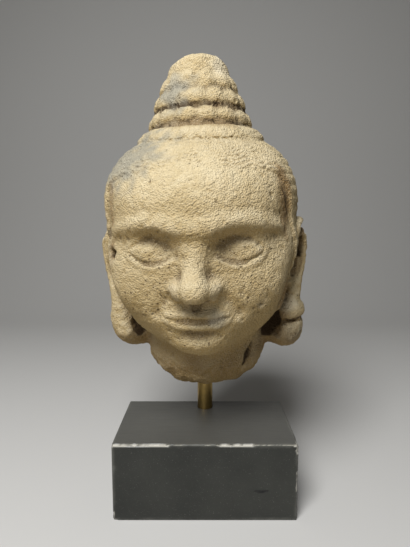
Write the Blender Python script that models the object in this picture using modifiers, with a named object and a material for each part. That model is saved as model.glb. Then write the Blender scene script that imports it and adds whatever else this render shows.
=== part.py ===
"""A carved sandstone head with a tiered topknot, broken off at the neck, on a brass rod and a black wooden plinth.

Metres, +Z up. The face looks towards -Y, and the origin is the centre of the plinth's underside.
"""

import math

import bpy
import numpy as np
from mathutils import Matrix, Vector, noise

# Plinth, a block of black-painted wood.
PLINTH_WIDTH = 0.125
PLINTH_DEPTH = 0.071
PLINTH_HEIGHT = 0.054
PLINTH_EDGE = 0.0008

# Rod that carries the head, from a hole in the plinth to a hole in the neck.
ROD_DIAMETER = 0.012
ROD_FROM_BACK = 0.01025
ROD_IN_PLINTH = 0.040
ROD_SHOWING = 0.023
ROD_IN_HEAD = 0.060
ROD_END_BEVEL = 0.0005
FIT_GAP = 0.0003

# Head, from the lowest point of the broken neck to the top of the topknot.
HEAD_HEIGHT = 0.240
HEAD_PITCH = math.radians(8.0)
HEAD_ROLL = math.radians(-1.5)
HEAD_YAW = math.radians(-4.0)

# The head is laid out on a grid of 240 steps to its height, so a step is 1 mm on the real head. Its zero is on
# the line of the eyes, midway between the ears. All places and sizes in the carving are in these steps.
STEPS_TO_HEIGHT = 240.0
STEP = HEAD_HEIGHT / STEPS_TO_HEIGHT
HEAD_LEFT_OF_ROD = 2.2
HEAD_BEFORE_ROD = 20.0
MESH_STEP = 2.0
HEAD_TRIANGLES = 9000

EYE_LINE = 0.0
BROW_LINE = 13.0
HAIR_LINE = 48.0
NOSE_BASE = -29.5
MOUTH_LINE = -43.0
EYE_ACROSS = 27.0
EYE_SPACING = 53.0

EAR_ROOT = (58.8, -8.0)
EAR_FLARE = math.radians(36.0)

KNOT_BACK = 22.0
KNOT_CORE = ((60.0, 36.0), (84.0, 30.5), (95.0, 26.0), (105.0, 23.0), (112.0, 20.5), (119.8, 18.2))
LEDGE_BACK = 17.0
LEDGE_SIDE = ((45.0, 45.0), (66.0, 43.5), (70.0, 40.5), (73.5, 35.0))
KNOT_TIERS = (
    # height, radius over the petals, petals
    (77.8, 36.8, 15),
    (89.2, 33.0, 14),
    (100.2, 28.0, 12),
)
PETAL_HALF_HEIGHT = 6.8
PETAL_DROOP = 0.45
PETAL_PROUD = 6.0
PETAL_DIP = 1.2
KNOT_LEAN = 0.114

HAIR_RISE = 1.3
HAIR_ROW = 7.0
HAIR_CURL = 8.0
HAIR_RELIEF = 0.9
HAIR_BALL = 65.0
CROWN = (0.0, 8.0, 18.0)

SLOW_WEAR = 26.0
QUICK_WEAR = 9.0
BREAK_TOP = -84.0
BREAK_EDGE = 12.0

ROD_SIDES = 40
FAR = 60.0
STROKE_REACH = 3.0
SLOPE_STEP = 0.05
HALVINGS = 22


def clear_scene():
    """Removes what the file starts with."""
    for thing in list(bpy.data.objects):
        bpy.data.objects.remove(thing)


def new_collection(name):
    """A collection linked to the scene."""
    group = bpy.data.collections.new(name)
    bpy.context.scene.collection.children.link(group)
    return group


def move_to(thing, group):
    """Keeps the object in that collection alone."""
    for old in list(thing.users_collection):
        old.objects.unlink(thing)
    group.objects.link(thing)


def make_material(name, colour, roughness, metallic=0.0):
    """A plain Principled material."""
    material = bpy.data.materials.new(name)
    material.use_nodes = True
    shader = material.node_tree.nodes["Principled BSDF"]
    shader.inputs["Base Color"].default_value = (*colour, 1.0)
    shader.inputs["Roughness"].default_value = roughness
    shader.inputs["Metallic"].default_value = metallic
    material.diffuse_color = (*colour, 1.0)
    return material


def join(one, other, soft):
    """Union of two distances, with the inner corner filled over the width soft."""
    overlap = np.maximum(soft - np.abs(one - other), 0.0) / soft
    return np.minimum(one, other) - overlap * overlap * soft / 4.0


class Ball:
    """An ellipsoid, turned about its upright axis, and drawn out into a post where a top is given."""

    def __init__(self, centre, radii, turn=0.0, top=None):
        self.centre = np.array(centre, float)
        self.radii = np.array(radii, float)
        self.turn = turn
        self.rise = 0.0 if top is None else top - centre[2]
        spread = np.array((self.radii[:2].max(), self.radii[:2].max(), self.radii[2]))
        self.low = self.centre - spread
        self.high = self.centre + spread + np.array((0.0, 0.0, self.rise))

    def distance(self, points):
        away = points - self.centre
        away[:, 2] -= np.clip(away[:, 2], 0.0, self.rise)
        cosine, sine = math.cos(self.turn), math.sin(self.turn)
        across = cosine * away[:, 0] + sine * away[:, 1]
        away[:, 1] = cosine * away[:, 1] - sine * away[:, 0]
        away[:, 0] = across
        away /= self.radii
        reach = np.sqrt((away * away).sum(1))
        away /= self.radii
        slope = np.sqrt((away * away).sum(1))
        return reach * (reach - 1.0) / np.maximum(slope, 1e-6)


class Strand:
    """A round strand along a path, whose radius runs evenly from point to point."""

    def __init__(self, path, radii):
        self.path = np.array(path, float)
        self.radii = np.array(radii, float)
        self.low = (self.path - self.radii[:, None]).min(0)
        self.high = (self.path + self.radii[:, None]).max(0)

    def distance(self, points):
        best = np.full(len(points), FAR)
        for start, end, first, last in zip(self.path[:-1], self.path[1:], self.radii[:-1], self.radii[1:]):
            along = end - start
            share = np.clip((points - start) @ along / (along @ along), 0.0, 1.0)
            away = points - start - share[:, None] * along
            best = np.minimum(best, np.sqrt((away * away).sum(1)) - first - (last - first) * share)
        return best


class Nose:
    """The ridge, tip and wings of the nose, cut level underneath."""

    low = np.array((0.0, -90.0, -36.0))
    high = np.array((22.0, -50.0, 22.0))

    def __init__(self):
        ridge = ((0, -58.0, 12), (0, -61.0, 2), (0, -66.0, -10), (0, -70.5, -20))
        self.ridge = Strand(ridge, (6.5, 6.0, 6.6, 8.0))
        self.tip = Ball((0, -71.0, -22.0), (9.0, 9.5, 8.5))
        self.wing = Ball((10.2, -64.0, -23.5), (6.0, 9.0, 6.4))

    def distance(self, points):
        whole = join(self.ridge.distance(points), self.tip.distance(points), 4.0)
        whole = join(whole, self.wing.distance(points), 4.5)
        slant = 0.12 * (points[:, 1] + 70.0)
        return -join(-whole, points[:, 2] - NOSE_BASE + slant, 3.0)


class Carving:
    """A form worked up in strokes, each adding or taking away a shape with a soft edge.

    Its sides are alike, so a stroke's shape stands on the +X side alone. Scars and bumps are on one side only.
    """

    def __init__(self, first):
        self.first = first
        self.strokes = []
        self.scars = []

    def add(self, shape, soft):
        self.strokes.append((1.0, shape, soft))

    def take(self, shape, soft):
        self.strokes.append((-1.0, shape, soft))

    def scar(self, shape, soft):
        self.scars.append((-1.0, shape, soft))

    def bump(self, shape, soft):
        self.scars.append((1.0, shape, soft))

    def distance(self, points):
        folded = points.copy()
        folded[:, 0] = np.abs(folded[:, 0])
        total = self.first.distance(folded)
        for places, strokes in ((folded, self.strokes), (points, self.scars)):
            for sign, shape, soft in strokes:
                reach = soft + STROKE_REACH
                inside = (places > shape.low - reach) & (places < shape.high + reach)
                near = np.flatnonzero(inside.all(axis=1))
                if len(near):
                    total[near] = sign * join(sign * total[near], shape.distance(places[near]), soft)
        return total

    def measure(self, points):
        """The distance and its slope at each point, from four places close round it."""
        corners = np.array(((1, -1, -1), (-1, -1, 1), (-1, 1, -1), (1, 1, 1))) * SLOPE_STEP
        values = [self.distance(points + corner) for corner in corners]
        slope = sum(value[:, None] * corner for value, corner in zip(values, corners))
        return sum(values) / 4.0, slope / (4.0 * SLOPE_STEP**2)

    def on_front(self, across, up, sunk):
        """Points along a line drawn on the front surface, each sunk below it."""
        across, up = np.broadcast_arrays(np.asarray(across, float), np.asarray(up, float))
        outside = np.full(across.shape, -110.0)
        inside = np.full(across.shape, -10.0)
        for _ in range(HALVINGS):
            middle = (outside + inside) / 2.0
            clear = self.distance(np.stack([across, middle, up], axis=1)) > 0.0
            outside = np.where(clear, middle, outside)
            inside = np.where(clear, inside, middle)
        return np.stack([across, inside + sunk, up], axis=1)


def bow(start, end, middle, count=9):
    """Across and up along a bowed line between two corners, whose middle lies at that height."""
    share = np.linspace(0.0, 1.0, count)
    across = start[0] + (end[0] - start[0]) * share
    chord = start[1] + (end[1] - start[1]) * share
    rise = middle - (start[1] + end[1]) / 2.0
    return across, chord + rise * 4.0 * share * (1.0 - share)


def swelling(count, ends, middle):
    """Radii that swell from the ends of a strand to its middle."""
    share = np.linspace(0.0, 1.0, count)
    return ends + (middle - ends) * np.sin(math.pi * share)


def carve_skull(head):
    """The broad crown, the forehead and the back of the skull."""
    head.add(Ball((26, 10, 29), (39, 60, 36)), 12.0)
    head.add(Ball((0, -18, 24), (50, 48, 36)), 14.0)
    head.add(Ball((0, 30, 34), (48, 46, 33)), 14.0)


def carve_masses(head):
    """The cheeks, jaw and chin."""
    head.add(Ball((0, -12, -14), (57, 51, 57)), 16.0)
    head.add(Ball((0, -13, -35), (56, 46.5, 41.5)), 10.0)
    head.add(Ball((49, -18, -6), (12, 22, 14)), 12.0)
    head.add(Ball((33, -38, -22), (21, 17, 20)), 14.0)
    head.add(Ball((0, -45, -42), (28, 16, 17)), 12.0)
    head.add(Ball((0, -44, -58), (19, 16, 13)), 10.0)


def carve_neck(head):
    """The stump of the neck, broken off below in a rounded bowl."""
    head.add(Ball((0, 12, -87.5), (45.0, 42, 30), top=-10), 12.0)


def carve_brow(head):
    """A low continuous ridge from the root of the nose to the temple."""
    across = np.array((2.0, 10.0, 19.0, 28.0, 37.0, 45.0, 51.0))
    rise = BROW_LINE + 2.6 - np.where(across < 27.0, 0.004, 0.010) * (across - 27.0) ** 2
    radii = np.array((4.0, 4.6, 4.8, 4.6, 4.2, 3.6, 3.0))
    proud = np.array((1.0, 1.5, 1.7, 1.6, 1.3, 1.0, 0.3))
    head.add(Strand(head.on_front(across, rise, radii - proud), radii), 5.0)


def carve_eyes(head):
    """Sunk sockets, closed lids over the ball of the eye, and the line where the lids meet."""
    middle = EYE_SPACING / 2.0
    inner, outer = middle - EYE_ACROSS / 2.0, middle + EYE_ACROSS / 2.0
    head.take(Ball((middle + 1, -67.5, EYE_LINE + 0.5), (17, 11.0, 10.5)), 8.0)
    head.add(Ball((middle, -46.0, EYE_LINE - 2), (16, 13.5, 11)), 3.0)
    across, lash = bow((inner - 0.5, -3.0), (outer + 1, -2.0), -8.0)
    lower = head.on_front(across, lash - 3.0, 0.8)
    head.add(Strand(lower, swelling(9, 0.8, 2.0)), 2.5)
    head.take(Strand(head.on_front(across, lash, 0.2), swelling(9, 0.8, 1.7)), 2.0)


def carve_nose(head):
    """The nose, its nostrils and the furrow down to the lip."""
    head.add(Nose(), 5.0)
    head.take(Ball((6.4, -69.5, NOSE_BASE - 0.6), (3.0, 4.4, 2.8)), 1.5)
    furrow = head.on_front((0.0, 0.0), (NOSE_BASE - 3.0, MOUTH_LINE + 7.0), -1.2)
    head.take(Strand(furrow, (1.8, 2.4)), 2.5)


def carve_mouth(head):
    """Full closed lips that lift a little at the corners, and the hollow over the chin."""
    corner = 23.0
    share = np.linspace(0.0, 1.0, 9)
    across = corner * share
    peak = 0.9 * np.exp(-(((across - 4.5) / 3.0) ** 2))
    seam = MOUTH_LINE + 2.6 * share**2.4
    upper = head.on_front(across, seam + 2.5 * (1 - share**2) + 0.7 + peak, 1.6)
    lower = head.on_front(across, seam - 3.4 * (1 - share**2) - 0.9, 1.7)
    head.add(Strand(upper, 1.2 + 2.4 * (1 - share**1.8)), 2.0)
    head.add(Strand(lower, 1.2 + 3.1 * (1 - share**1.8)), 2.0)
    line = head.on_front(across, seam, 0.0)
    head.take(Strand(line, 0.95 - 0.4 * share), 1.0)
    head.take(Ball((corner + 1.5, line[-1, 1] - 1.5, seam[-1]), (3.0, 3.0, 3.5)), 3.0)
    hollow = head.on_front((0.0, 6.0, 12.0), (MOUTH_LINE - 11.5,) * 3, -2.6)
    head.take(Strand(hollow, (4.0, 3.6, 2.4)), 5.0)
    fold = head.on_front((15.5, 21.0, 26.5), (NOSE_BASE + 3.0, NOSE_BASE - 3.0, NOSE_BASE - 10.0), -1.6)
    head.take(Strand(fold, (2.0, 2.4, 2.0)), 4.5)


def on_ear(along, out, up):
    """A place given as back along the ear, out from it, and up."""
    return (
        EAR_ROOT[0] + along * math.sin(EAR_FLARE) + out * math.cos(EAR_FLARE),
        EAR_ROOT[1] + along * math.cos(EAR_FLARE) - out * math.sin(EAR_FLARE),
        up,
    )


EAR_RIM = (
    (2, 0.5, -15), (3, 1, -6), (8, 1.5, 0), (15, 2, 1), (20.5, 2.5, -4),
    (21.5, 2.5, -14), (19.5, 2, -26), (15, 1.5, -37), (11, 1, -45),
)
EAR_FOLD = ((9, 1, -8), (14, 1.5, -13), (15, 1.5, -22), (12, 1, -31), (7, 0.5, -36))
EAR_LOBE = ((12.5, 0.5, -38), (10, 0, -49), (8.5, -0.5, -60), (6, -2.5, -70))


def carve_ears(head):
    """A flared shell with a rolled rim, and a long lobe that ends in a knob, on stone left behind them."""
    head.add(Ball((52, 17, -38), (14, 15, 46)), 12.0)
    head.add(Ball(on_ear(10, -3.5, -20), (6, 13, 24), turn=-EAR_FLARE), 4.0)
    head.add(Strand([on_ear(*place) for place in EAR_RIM], (2.6, 2.9, 3.2, 3.3, 3.3, 3.3, 3.3, 3.4, 3.6)), 2.0)
    head.take(Ball(on_ear(9, 4.0, -20), (4.5, 7.5, 13), turn=-EAR_FLARE), 1.5)
    head.add(Strand([on_ear(*place) for place in EAR_FOLD], (1.4, 2.0, 2.2, 2.0, 1.4)), 1.5)
    head.add(Strand([on_ear(*place) for place in EAR_LOBE], (4.2, 5.6, 7.0, 8.5)), 4.0)
    head.add(Ball((57, 8, -71), (15, 13, 16.5)), 8.0)


class Turned:
    """A round form on an upright axis, given as heights and radii, with its top edge rounded.

    A lean raises its front by that much for each step in front of the axis.
    """

    def __init__(self, side, back, soft, lean=0.0):
        self.heights, self.radii = np.array(side).T
        self.back, self.soft, self.lean = back, soft, lean
        widest = self.radii.max()
        self.low = np.array((0.0, back - widest, self.heights[0] - lean * widest))
        self.high = np.array((widest, back + widest, self.heights[-1] + lean * widest))

    def distance(self, points):
        back = points[:, 1] - self.back
        away, up = np.hypot(points[:, 0], back), points[:, 2] + self.lean * back
        side = (away - np.interp(up, self.heights, self.radii)) * 0.9
        return -join(-side, self.heights[-1] - up, self.soft)


class Petals:
    """One ring of rounded petals that stand side by side on a round bead, all drooping outwards."""

    def __init__(self, height, radius, petals, odd):
        self.height, self.radius, self.petals, self.odd = height, radius, petals, odd
        droop = PETAL_DROOP * PETAL_PROUD
        rise = PETAL_HALF_HEIGHT + KNOT_LEAN * radius
        self.low = np.array((0.0, KNOT_BACK - radius, height - rise - droop))
        self.high = np.array((radius, KNOT_BACK + radius, height + rise))
        half_width = radius * math.sin(math.pi / petals) * 1.15
        self.petal = Ball((0.0, radius - PETAL_PROUD, height), (half_width, PETAL_PROUD, PETAL_HALF_HEIGHT))

    def distance(self, points):
        back = points[:, 1] - KNOT_BACK
        away, turn = np.hypot(points[:, 0], back), np.arctan2(points[:, 0], -back)
        up = points[:, 2] + KNOT_LEAN * back + PETAL_DROOP * (away - self.radius + PETAL_PROUD)
        squash = PETAL_PROUD / PETAL_HALF_HEIGHT
        bead = np.hypot(away - self.radius + PETAL_PROUD, (up - self.height) * squash)
        bead += PETAL_DIP - PETAL_PROUD
        sector = 2.0 * math.pi / self.petals
        turn = np.mod(turn + sector * (0.5 if self.odd else 1.0), sector) - sector / 2.0
        folded = np.stack([away * np.sin(turn), away * np.cos(turn), up], axis=1)
        return join(bead, self.petal.distance(folded), 1.2)


def carve_topknot(head):
    """Rings of petals round a cone that stands on a low plain ledge."""
    head.add(Turned(LEDGE_SIDE, LEDGE_BACK, 2.0), 2.5)
    head.add(Turned(KNOT_CORE, KNOT_BACK, 7.0, KNOT_LEAN), 2.0)
    for ring, (height, radius, petals) in enumerate(KNOT_TIERS):
        head.add(Petals(height, radius, petals, ring % 2), 1.2)


def carve_scars(head):
    """The topknot's worn shoulder and front, and what differs between the two ears and their knobs."""
    head.scar(Ball((-24, KNOT_BACK - 4, 130), (22, 30, 13)), 4.0)
    head.scar(Ball((-2, -25, 106), (28, 21, 13)), 2.5)
    head.bump(Ball((64, 1, -57), (10.5, 9, 8)), 3.0)
    head.bump(Ball((61, 4, -72), (12.5, 11, 16.5)), 4.0)
    head.bump(Ball((67, -6, 3.5), (7, 7, 6.5)), 4.0)
    head.bump(Ball((-61, 3, -61), (10.5, 10, 15)), 6.0)
    head.scar(Strand(((46, -5, -62), (56, -8, -64), (66, -5, -64), (73, 3, -63)), (1.8, 2.2, 2.4, 2.0)), 2.0)
    head.scar(Ball((49, -9, -65), (8, 10, 13)), 2.5)
    head.scar(Ball((-49, -9, -62), (6.5, 11, 14)), 2.5)


def carved_head():
    """The whole head as a distance that is zero on its surface."""
    head = Carving(Ball((0, 8, 14), (63.5, 74, 52)))
    carve_skull(head)
    carve_masses(head)
    carve_neck(head)
    carve_brow(head)
    carve_eyes(head)
    carve_nose(head)
    carve_mouth(head)
    carve_ears(head)
    carve_topknot(head)
    carve_scars(head)
    return head


ROUGH_MASSES = (
    # centre and radii of the spheres that the head is blocked out from, a little outside the finished form
    ((0, 8, 14), (70, 77, 55)),
    ((30, 10, 30), (42, 64, 40)),
    ((0, -18, 26), (54, 52, 40)),
    ((0, 30, 36), (52, 50, 36)),
    ((0, -13, -14), (60, 54, 60)),
    ((0, -14, -36), (57, 50, 45)),
    ((0, -66, -12), (11, 15, 24)),
    ((0, -50, -46), (24, 16, 20)),
    ((0, 12, -30), (45, 44, 60)),
    ((0, 12, -80), (48.5, 44, 40)),
    ((61, 11, -32), (20, 23, 44)),
    ((57, 8, -71), (18, 16, 19)),
    ((0, KNOT_BACK, 82), (41, 41, 46)),
)


def block_out():
    """Spheres fused into one rough block, in grid steps."""
    lumps = []
    for centre, radii in ROUGH_MASSES:
        for side in (1, -1) if centre[0] else (1,):
            place = (side * centre[0], centre[1], centre[2])
            bpy.ops.mesh.primitive_uv_sphere_add(segments=48, ring_count=32, location=place, scale=radii)
            lumps.append(bpy.context.object)
    bpy.ops.object.select_all(action="DESELECT")
    for lump in lumps:
        lump.select_set(True)
    bpy.context.view_layer.objects.active = lumps[0]
    bpy.ops.object.join()
    block = bpy.context.object
    bpy.ops.object.transform_apply()
    fuse = block.modifiers.new("fuse", "REMESH")
    fuse.mode = "VOXEL"
    fuse.voxel_size = MESH_STEP
    bpy.ops.object.modifier_apply(modifier=fuse.name)
    return block


def spread_evenly(points, edges):
    """Each point moved halfway to the middle of its neighbours."""
    count = np.bincount(edges.ravel(), minlength=len(points))[:, None]
    total = np.zeros_like(points)
    for axis in range(3):
        total[:, axis] += np.bincount(edges[:, 0], points[edges[:, 1], axis], len(points))
        total[:, axis] += np.bincount(edges[:, 1], points[edges[:, 0], axis], len(points))
    return points + 0.5 * (total / count - points)


def cut_back(head, points, rounds):
    """The points moved along the form's slope until they lie on it."""
    for _ in range(rounds):
        distance, slope = head.measure(points)
        steepness = np.maximum(np.linalg.norm(slope, axis=1), 1e-6)
        move = distance / np.clip(steepness, 0.3, 1.5)
        points = points - slope * (np.clip(move, -6.0, 6.0) / steepness)[:, None]
    return points


def smooth_step(value, low, high):
    """0 below low, 1 above high, and even in between."""
    share = np.clip((value - low) / (high - low), 0.0, 1.0)
    return share * share * (3.0 - 2.0 * share)


def hair_cover(points):
    """1 on the hair and 0 on the face, ears, neck and topknot."""
    across, back, up = points.T
    forehead = up - (HAIR_LINE - 0.0022 * across**2)
    temple = back + 30.0 + 0.12 * (up - 20.0)
    inside = -join(-forehead, -temple, 10.0)
    nape = up + 52.0
    ear = np.hypot((back - 8.0) / 22.0, (up + 24.0) / 36.0) - 1.0
    shell = np.where(np.abs(across) > 50.0, ear * 22.0, 20.0)
    return smooth_step(inside, -0.8, 1.2) * smooth_step(nape, -2.0, 4.0) * smooth_step(shell, -1.0, 3.0)


def hair_height(points):
    """Low rows of flat curls round the crown, over the step of the hair above the face."""
    away = points - np.array(CROWN)
    reach = np.linalg.norm(away, axis=1)
    dip = np.arccos(np.clip(away[:, 2] / reach, -1.0, 1.0))
    turn = np.arctan2(away[:, 0], -away[:, 1])
    row = dip * HAIR_BALL / HAIR_ROW
    index = np.floor(row)
    round_row = 2.0 * math.pi * HAIR_BALL * np.sin((index + 0.5) * HAIR_ROW / HAIR_BALL)
    curls = np.maximum(np.round(round_row / HAIR_CURL), 6.0)
    along = turn / (2.0 * math.pi) * curls + 0.5 * np.mod(index, 2.0)
    over_row = 1.0 - (2.0 * (row - index) - 1.0) ** 2
    over_curl = 1.0 - (2.0 * (along - np.floor(along)) - 1.0) ** 2
    relief = np.sqrt(np.clip(over_row, 0, 1)) * (0.55 + 0.45 * np.sqrt(np.clip(over_curl, 0, 1)))
    return HAIR_RISE + HAIR_RELIEF * (relief - 0.6)


def weathering(points):
    """Slow unevenness of the worn surface, and the rougher break of the neck."""
    slow = np.array([noise.noise(place) for place in points / SLOW_WEAR])
    quick = np.array([noise.noise(place) for place in points / QUICK_WEAR])
    broken = smooth_step(BREAK_TOP - points[:, 2], 0.0, BREAK_EDGE)
    return 0.8 * slow + (0.35 + 1.6 * broken) * quick


def carve_block(block):
    """Cuts the block back to the carved form and gives it its hair and wear."""
    head = carved_head()
    mesh = block.data
    points = np.empty(len(mesh.vertices) * 3)
    mesh.vertices.foreach_get("co", points)
    points = points.reshape(-1, 3)
    edges = np.empty(len(mesh.edges) * 2, int)
    mesh.edges.foreach_get("vertices", edges)
    edges = edges.reshape(-1, 2)
    for _ in range(4):
        points = cut_back(head, points, 1)
        points = spread_evenly(points, edges)
    points = cut_back(head, points, 3)
    _, slope = head.measure(points)
    slope /= np.maximum(np.linalg.norm(slope, axis=1), 1e-6)[:, None]
    height = hair_cover(points) * hair_height(points) + weathering(points)
    points = points + slope * height[:, None]
    mesh.vertices.foreach_set("co", points.ravel())
    mesh.update()
    return head


def head_turn():
    """The way the head leans: forward, to one side, and a little round."""
    yaw = Matrix.Rotation(HEAD_YAW, 4, "Z")
    roll = Matrix.Rotation(HEAD_ROLL, 4, "Y")
    pitch = Matrix.Rotation(HEAD_PITCH, 4, "X")
    return yaw @ roll @ pitch


def underside_at(head, turn, across, back):
    """Height, in turned grid steps, of the head's underside over a point of the turned ground plan."""
    back_to_grid = np.array(turn.inverted().to_3x3())
    low, high = -180.0, -60.0
    for _ in range(HALVINGS):
        middle = (low + high) / 2.0
        spot = back_to_grid @ np.array((across, back, middle))
        if head.distance(spot[None, :])[0] > 0.0:
            low = middle
        else:
            high = middle
    return (low + high) / 2.0


def drill(piece, radius, depth, mouth, group):
    """Cuts a round hole on the rod's axis, with a cutter that runs past its mouth as far as it goes in."""
    bpy.ops.mesh.primitive_cylinder_add(
        vertices=ROD_SIDES, radius=radius, depth=2.0 * depth, location=(0.0, rod_back(), mouth)
    )
    cutter = bpy.context.object
    cutter.name = piece.name + "_drill"
    cutter.hide_render = True
    cutter.display_type = "WIRE"
    move_to(cutter, group)
    hole = piece.modifiers.new("rod hole", "BOOLEAN")
    hole.operation = "DIFFERENCE"
    hole.object = cutter


def rod_back():
    """The rod's place from front to back."""
    return PLINTH_DEPTH / 2.0 - ROD_FROM_BACK


def make_plinth(parts, cutters):
    """The wooden block, with softened edges and a blind hole for the rod."""
    bpy.ops.mesh.primitive_cube_add(size=1.0, location=(0.0, 0.0, PLINTH_HEIGHT / 2.0))
    plinth = bpy.context.object
    plinth.name = "wooden_plinth"
    plinth.scale = (PLINTH_WIDTH, PLINTH_DEPTH, PLINTH_HEIGHT)
    bpy.ops.object.transform_apply(location=False, rotation=False, scale=True)
    edges = plinth.modifiers.new("softened edges", "BEVEL")
    edges.width = PLINTH_EDGE
    edges.segments = 2
    drill(plinth, ROD_DIAMETER / 2.0 + FIT_GAP, ROD_IN_PLINTH + FIT_GAP, PLINTH_HEIGHT, cutters)
    plinth.data.materials.append(make_material("black paint", (0.030, 0.031, 0.028), 0.38))
    move_to(plinth, parts)
    return plinth


def make_rod(parts):
    """The brass rod, from the bottom of the plinth's hole to the end of the neck's."""
    low = PLINTH_HEIGHT - ROD_IN_PLINTH
    high = PLINTH_HEIGHT + ROD_SHOWING + ROD_IN_HEAD
    bpy.ops.mesh.primitive_cylinder_add(
        vertices=ROD_SIDES, radius=ROD_DIAMETER / 2.0, depth=high - low,
        location=(0.0, rod_back(), (low + high) / 2.0),
    )
    rod = bpy.context.object
    rod.name = "brass_rod"
    ends = rod.modifiers.new("broken end edges", "BEVEL")
    ends.width = ROD_END_BEVEL
    ends.segments = 1
    ends.limit_method = "ANGLE"
    ends.angle_limit = math.radians(60.0)
    rod.data.shade_smooth()
    rod.data.set_sharp_from_angle(angle=math.radians(40.0))
    rod.data.materials.append(make_material("brass", (0.36, 0.22, 0.055), 0.35, 1.0))
    move_to(rod, parts)
    return rod


def make_head(parts, cutters):
    """The stone head, set so that its underside is the rod's showing length above the plinth."""
    head = block_out()
    head.name = "sandstone_head"
    form = carve_block(head)
    turn = head_turn()
    underside = underside_at(form, turn, HEAD_LEFT_OF_ROD, HEAD_BEFORE_ROD)
    place = Vector((
        -HEAD_LEFT_OF_ROD * STEP,
        rod_back() - HEAD_BEFORE_ROD * STEP,
        PLINTH_HEIGHT + ROD_SHOWING - underside * STEP,
    ))
    head.data.transform(Matrix.Translation(place) @ turn @ Matrix.Scale(STEP, 4))
    fewer = head.modifiers.new("fewer faces", "DECIMATE")
    fewer.ratio = HEAD_TRIANGLES / (2.0 * len(head.data.polygons))
    drill(head, ROD_DIAMETER / 2.0 + FIT_GAP, ROD_IN_HEAD + FIT_GAP, PLINTH_HEIGHT + ROD_SHOWING, cutters)
    head.data.shade_smooth()
    head.data.materials.append(make_material("sandstone", (0.46, 0.37, 0.24), 0.92))
    move_to(head, parts)
    return head


def main():
    clear_scene()
    parts = new_collection("stone head on plinth")
    cutters = new_collection("cutters")
    make_plinth(parts, cutters)
    make_rod(parts)
    make_head(parts, cutters)


if __name__ == "__main__":
    main()
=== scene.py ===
"""Stone head on a plinth: the looks of a worn sandstone head, its brass rod and its black wooden plinth."""

import math

import bpy
import numpy as np
from mathutils import Matrix, Vector, noise


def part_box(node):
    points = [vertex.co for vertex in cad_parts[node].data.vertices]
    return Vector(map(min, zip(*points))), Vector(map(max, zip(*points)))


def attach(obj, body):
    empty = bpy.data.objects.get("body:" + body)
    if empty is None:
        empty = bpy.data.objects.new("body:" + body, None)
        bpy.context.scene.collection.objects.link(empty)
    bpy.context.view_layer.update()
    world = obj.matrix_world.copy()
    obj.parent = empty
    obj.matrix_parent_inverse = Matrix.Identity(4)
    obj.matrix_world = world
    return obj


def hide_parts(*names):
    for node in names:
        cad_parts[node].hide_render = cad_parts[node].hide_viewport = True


bl_info = {
    "name": "Stone Head on Plinth",
    "version": (1, 0, 0),
    "blender": (4, 5, 0),
    "location": "3D View > Sidebar > Stone Head",
    "description": "Carves and finishes a worn sandstone head with its brass rod and black plinth",
    "category": "Object",
}

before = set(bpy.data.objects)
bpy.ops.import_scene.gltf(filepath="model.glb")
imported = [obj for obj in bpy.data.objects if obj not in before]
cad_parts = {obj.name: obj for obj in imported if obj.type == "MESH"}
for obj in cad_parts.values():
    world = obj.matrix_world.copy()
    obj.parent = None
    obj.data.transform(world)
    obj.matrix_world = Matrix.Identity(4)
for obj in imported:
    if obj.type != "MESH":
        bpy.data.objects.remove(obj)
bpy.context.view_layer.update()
HEAD_LOW, HEAD_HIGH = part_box("sandstone_head")
ROD_LOW, ROD_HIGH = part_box("brass_rod")
PLINTH_LOW, PLINTH_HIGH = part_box("wooden_plinth")
ROD_MIDDLE = (ROD_LOW + ROD_HIGH) / 2.0
ROD_RADIUS = (ROD_HIGH.x - ROD_LOW.x) / 2.0

# The head is laid out on a grid of about 1 mm steps. Its zero is on the line of the eyes, midway between the
# ears. All places and sizes in the carving are in these steps, and the frame gives their length.
HEAD_PITCH = math.radians(8.0)
HEAD_ROLL = math.radians(-1.5)
HEAD_YAW = math.radians(-4.0)
HEAD_LEFT_OF_ROD = 2.2
HEAD_BEFORE_ROD = 20.0

EYE_LINE = 0.0
BROW_LINE = 13.0
HAIR_LINE = 48.0
NOSE_BASE = -29.5
MOUTH_LINE = -43.0
EYE_ACROSS = 27.0
EYE_SPACING = 53.0

EAR_ROOT = (58.8, -8.0)
EAR_FLARE = math.radians(36.0)
EAR_RIM = (
    (2, 0.5, -15), (3, 1, -6), (8, 1.5, 0), (15, 2, 1), (20.5, 2.5, -4),
    (21.5, 2.5, -14), (19.5, 2, -26), (15, 1.5, -37), (11, 1, -45),
)
EAR_FOLD = ((9, 1, -8), (14, 1.5, -13), (15, 1.5, -22), (12, 1, -31), (7, 0.5, -36))
EAR_LOBE = ((12.5, 0.5, -38), (10, 0, -49), (8.5, -0.5, -60), (6, -2.5, -70))

KNOT_BACK = 22.0
KNOT_CORE = ((60.0, 36.0), (84.0, 30.5), (95.0, 26.0), (105.0, 23.0), (112.0, 20.5), (119.8, 18.2))
LEDGE_BACK = 17.0
LEDGE_SIDE = ((45.0, 45.0), (66.0, 43.5), (70.0, 40.5), (73.5, 35.0))
KNOT_TIERS = (
    # height, radius over the petals, petals
    (77.8, 36.8, 15),
    (89.2, 33.0, 14),
    (100.2, 28.0, 12),
)
PETAL_HALF_HEIGHT = 6.8
PETAL_DROOP = 0.45
PETAL_PROUD = 6.0
PETAL_DIP = 2.6
KNOT_LEAN = 0.114

UNDERCUTS = (
    # height, radius and thickness of the grooves under the rings of petals, which are also painted dark as
    # shade
    (83.4, 31.4, 1.9),
    (71.2, 35.8, 1.6),
)

HAIR_ROW = 6.2
HAIR_CURL = 7.0
HAIR_RISE = 1.2
WAVE_ROW = 3.1
WAVES_ROUND = 26.0
HAIR_BALL = 65.0
CROWN = (0.0, 8.0, 18.0)

SLOW_WEAR = 26.0
QUICK_WEAR = 9.0
BREAK_TOP = -84.0
BREAK_EDGE = 12.0

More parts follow.
